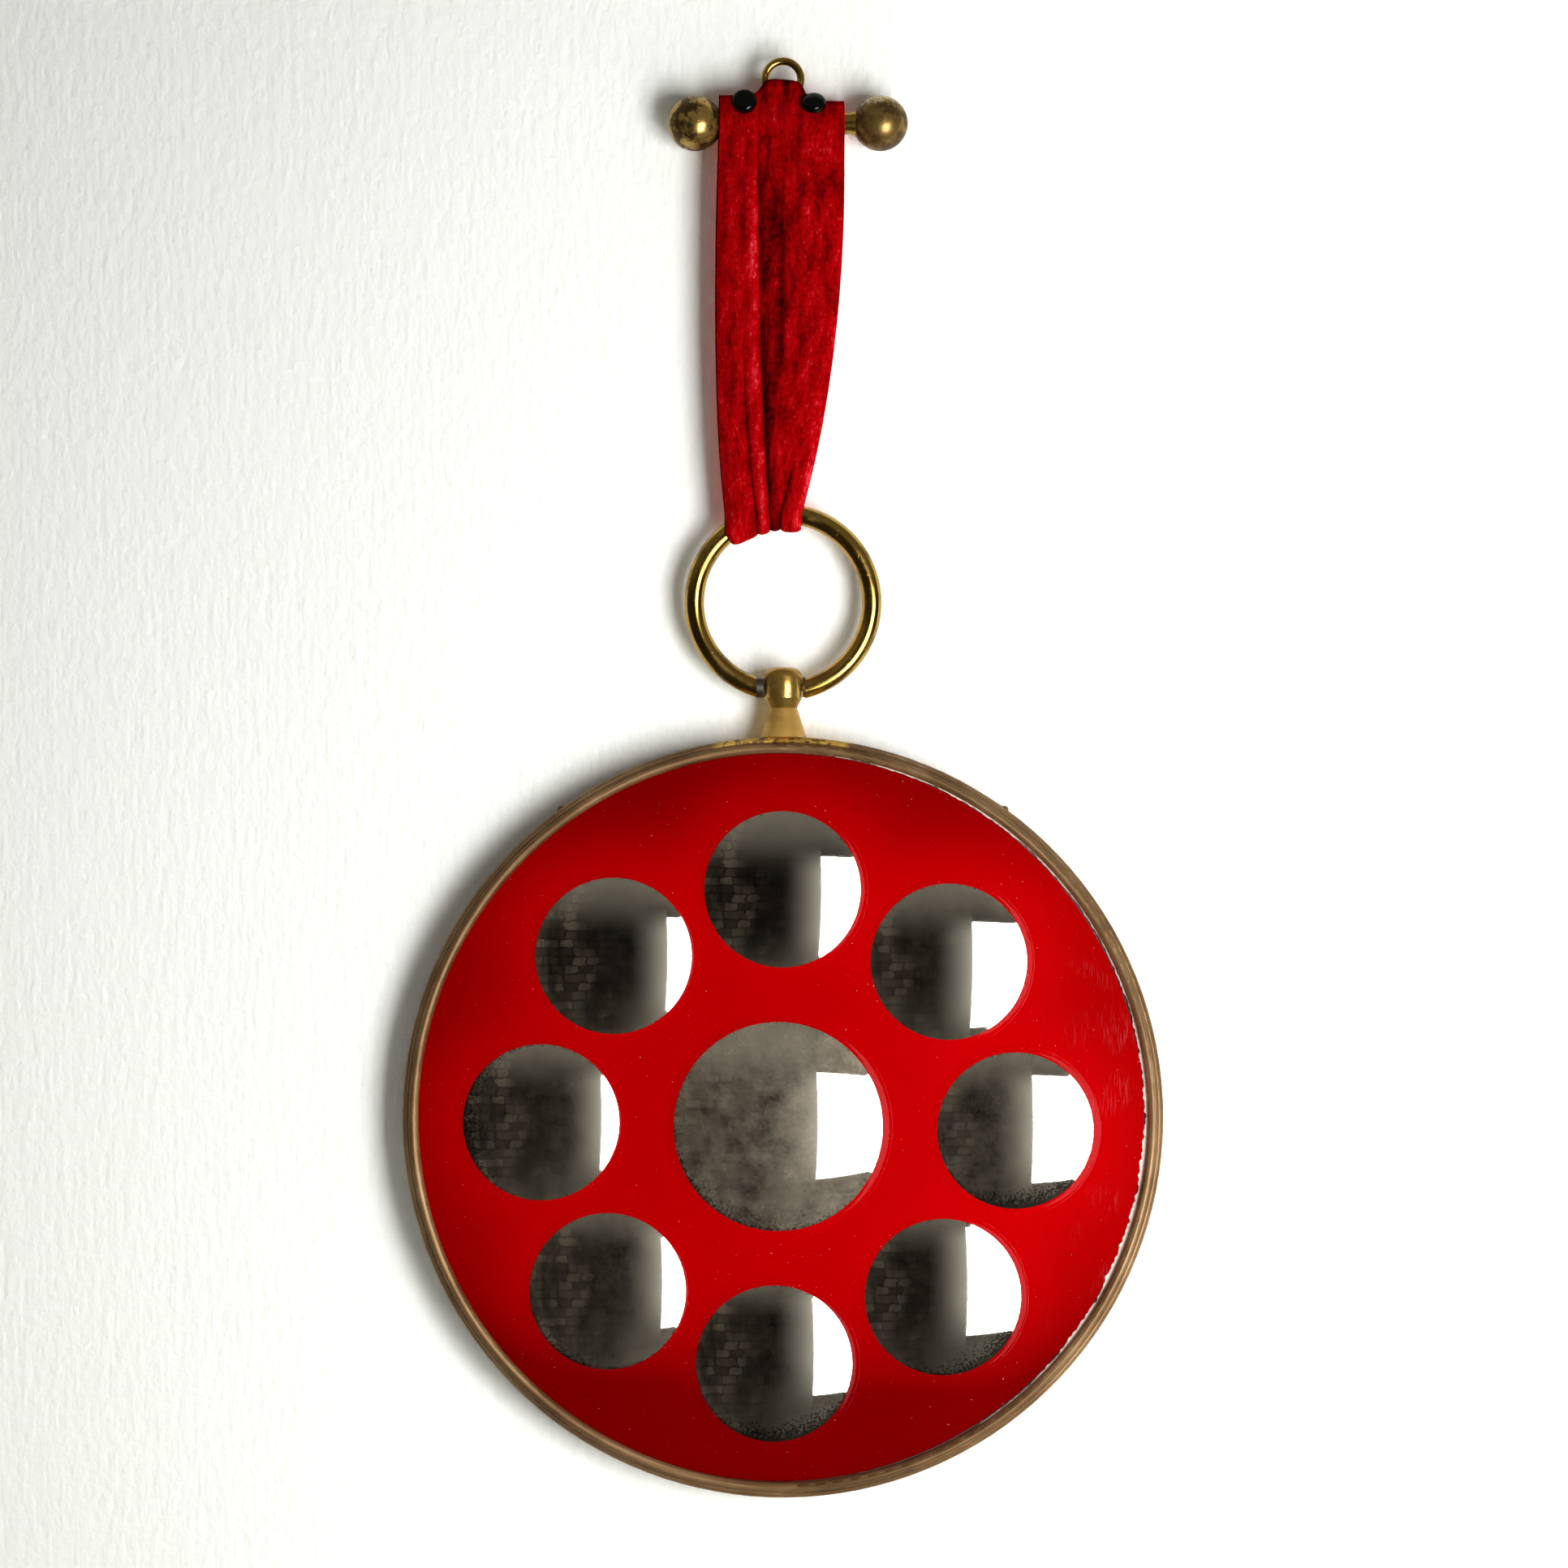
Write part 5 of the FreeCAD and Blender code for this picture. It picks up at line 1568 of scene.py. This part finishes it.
    def build_screen(self) -> None:
        """Stands a dim grey screen beside the softbox, which only reflections see."""
        y = -self.lamp_depth
        left, right, low, top = self.screen_left, self.lamp_left, self.screen_bottom, self.screen_top
        corners = np.array([(left, y, low), (left, y, top), (right, y, top), (right, y, low)])
        self.only_mirrored(self.sheet("grey_screen", corners, self.screen_finish()))

    def screen_finish(self) -> Material:
        """Makes the screen's dim grey, which is paler next to the lamp and dies away at its other edges."""
        material, tree = blank_material("dim_grey_screen")
        parts = add(tree, "SeparateXYZ", {0: object_place(tree)})
        share = ranged(tree, parts.outputs["X"], self.screen_left * MM, self.lamp_left * MM)
        near = calc(tree, "POWER", share, self.screen_falloff)
        over = ranged(tree, parts.outputs["Z"], self.screen_top * MM,
                      (self.screen_top - self.screen_fade_top) * MM,
                      to_high=self.screen_most, interpolation_type="SMOOTHSTEP")
        under = ranged(tree, parts.outputs["Z"], self.screen_bottom * MM,
                       (self.screen_bottom + self.screen_fade_bottom) * MM, interpolation_type="SMOOTHSTEP")
        ends = calc(tree, "MULTIPLY", over, under)
        painted_glow = calc(tree, "MULTIPLY", near, ends)
        light = add(tree, "Emission", {"Color": linear(self.screen_colour), "Strength": painted_glow})
        both = add(tree, "AddShader", {0: light.outputs[0], 1: add(tree, "BsdfTransparent").outputs[0]})
        add(tree, "OutputMaterial", {"Surface": both.outputs[0]})
        return material

    def room_finish(self) -> Material:
        """Makes the unlit room: dim brickwork on the left, nearly black ahead, paler above and below."""
        material, tree = blank_material("unlit_room")
        place = object_place(tree)
        parts = add(tree, "SeparateXYZ", {0: place})
        flat = add(tree, "CombineXYZ", {"X": parts.outputs["X"], "Y": parts.outputs["Z"]}).outputs[0]
        uneven = add(tree, "TexNoise", {"Vector": flat, "Scale": 9.0, "Detail": 3.0}).outputs["Color"]
        bent = add(tree, "VectorMath", {0: uneven, 1: self.brick_bend, 2: flat}, operation="MULTIPLY_ADD")
        brick = add(tree, "TexBrick", {"Vector": bent.outputs[0], "Color1": linear(self.brick_light),
                                       "Color2": linear(self.brick_dark), "Mortar": linear(self.mortar),
                                       "Scale": 1.0, "Mortar Size": self.mortar_size,
                                       "Brick Width": self.brick_width, "Row Height": self.brick_height},
                    offset=0.37, squash=1.7, squash_frequency=3).outputs["Color"]
        drawn = calc_vector(tree, "MULTIPLY", place, (1.0, 1.0, self.block_stretch))
        block = add(tree, "TexNoise", {"Vector": drawn, "Scale": 3.4, "Detail": 4.0}).outputs["Fac"]
        shade = ranged(tree, block, *self.block_range, *self.block_light)
        left = ranged(tree, parts.outputs["X"], *self.left_range, *self.left_light)
        dim = calc(tree, "MULTIPLY", shade, left)
        over = ranged(tree, parts.outputs["Z"], *self.over_range, to_high=self.over_light,
                      interpolation_type="SMOOTHSTEP")
        right = ranged(tree, parts.outputs["X"], *self.right_range, *self.right_light)
        under = ranged(tree, parts.outputs["Z"], *self.under_range, interpolation_type="SMOOTHSTEP")
        ends = calc(tree, "MULTIPLY_ADD", under, right, over)
        wall = add(tree, "Emission", {"Color": brick, "Strength": dim})
        pale = add(tree, "Emission", {"Color": linear(self.ceiling_colour), "Strength": ends})
        both = add(tree, "AddShader", {0: wall.outputs[0], 1: pale.outputs[0]})
        add(tree, "OutputMaterial", {"Surface": both.outputs[0]})
        return material


def main() -> None:
    """Builds the studio and dresses the object, piece by piece."""
    logging.basicConfig(level=logging.INFO)
    Studio().build()
    panel = MirrorPanel()
    red = RedLacquer("red_lacquer_under_glass").material()
    silver = FoxedSilver("foxed_silver_mirror").material()
    panel.build_face(red)
    panel.build_bubbles(silver, red)
    GlazingRing().build(DryPutty("dry_linseed_putty").material())
    Ribbon().build(CrushedVelvet("crushed_velvet_red").material())
    enamel = BlackEnamel("black_stove_enamel").material()
    SnapCaps().build(enamel)
    dress(enamel, "snap_backs")
    Metalwork().dress_all()


if __name__ == "__main__":
    main()
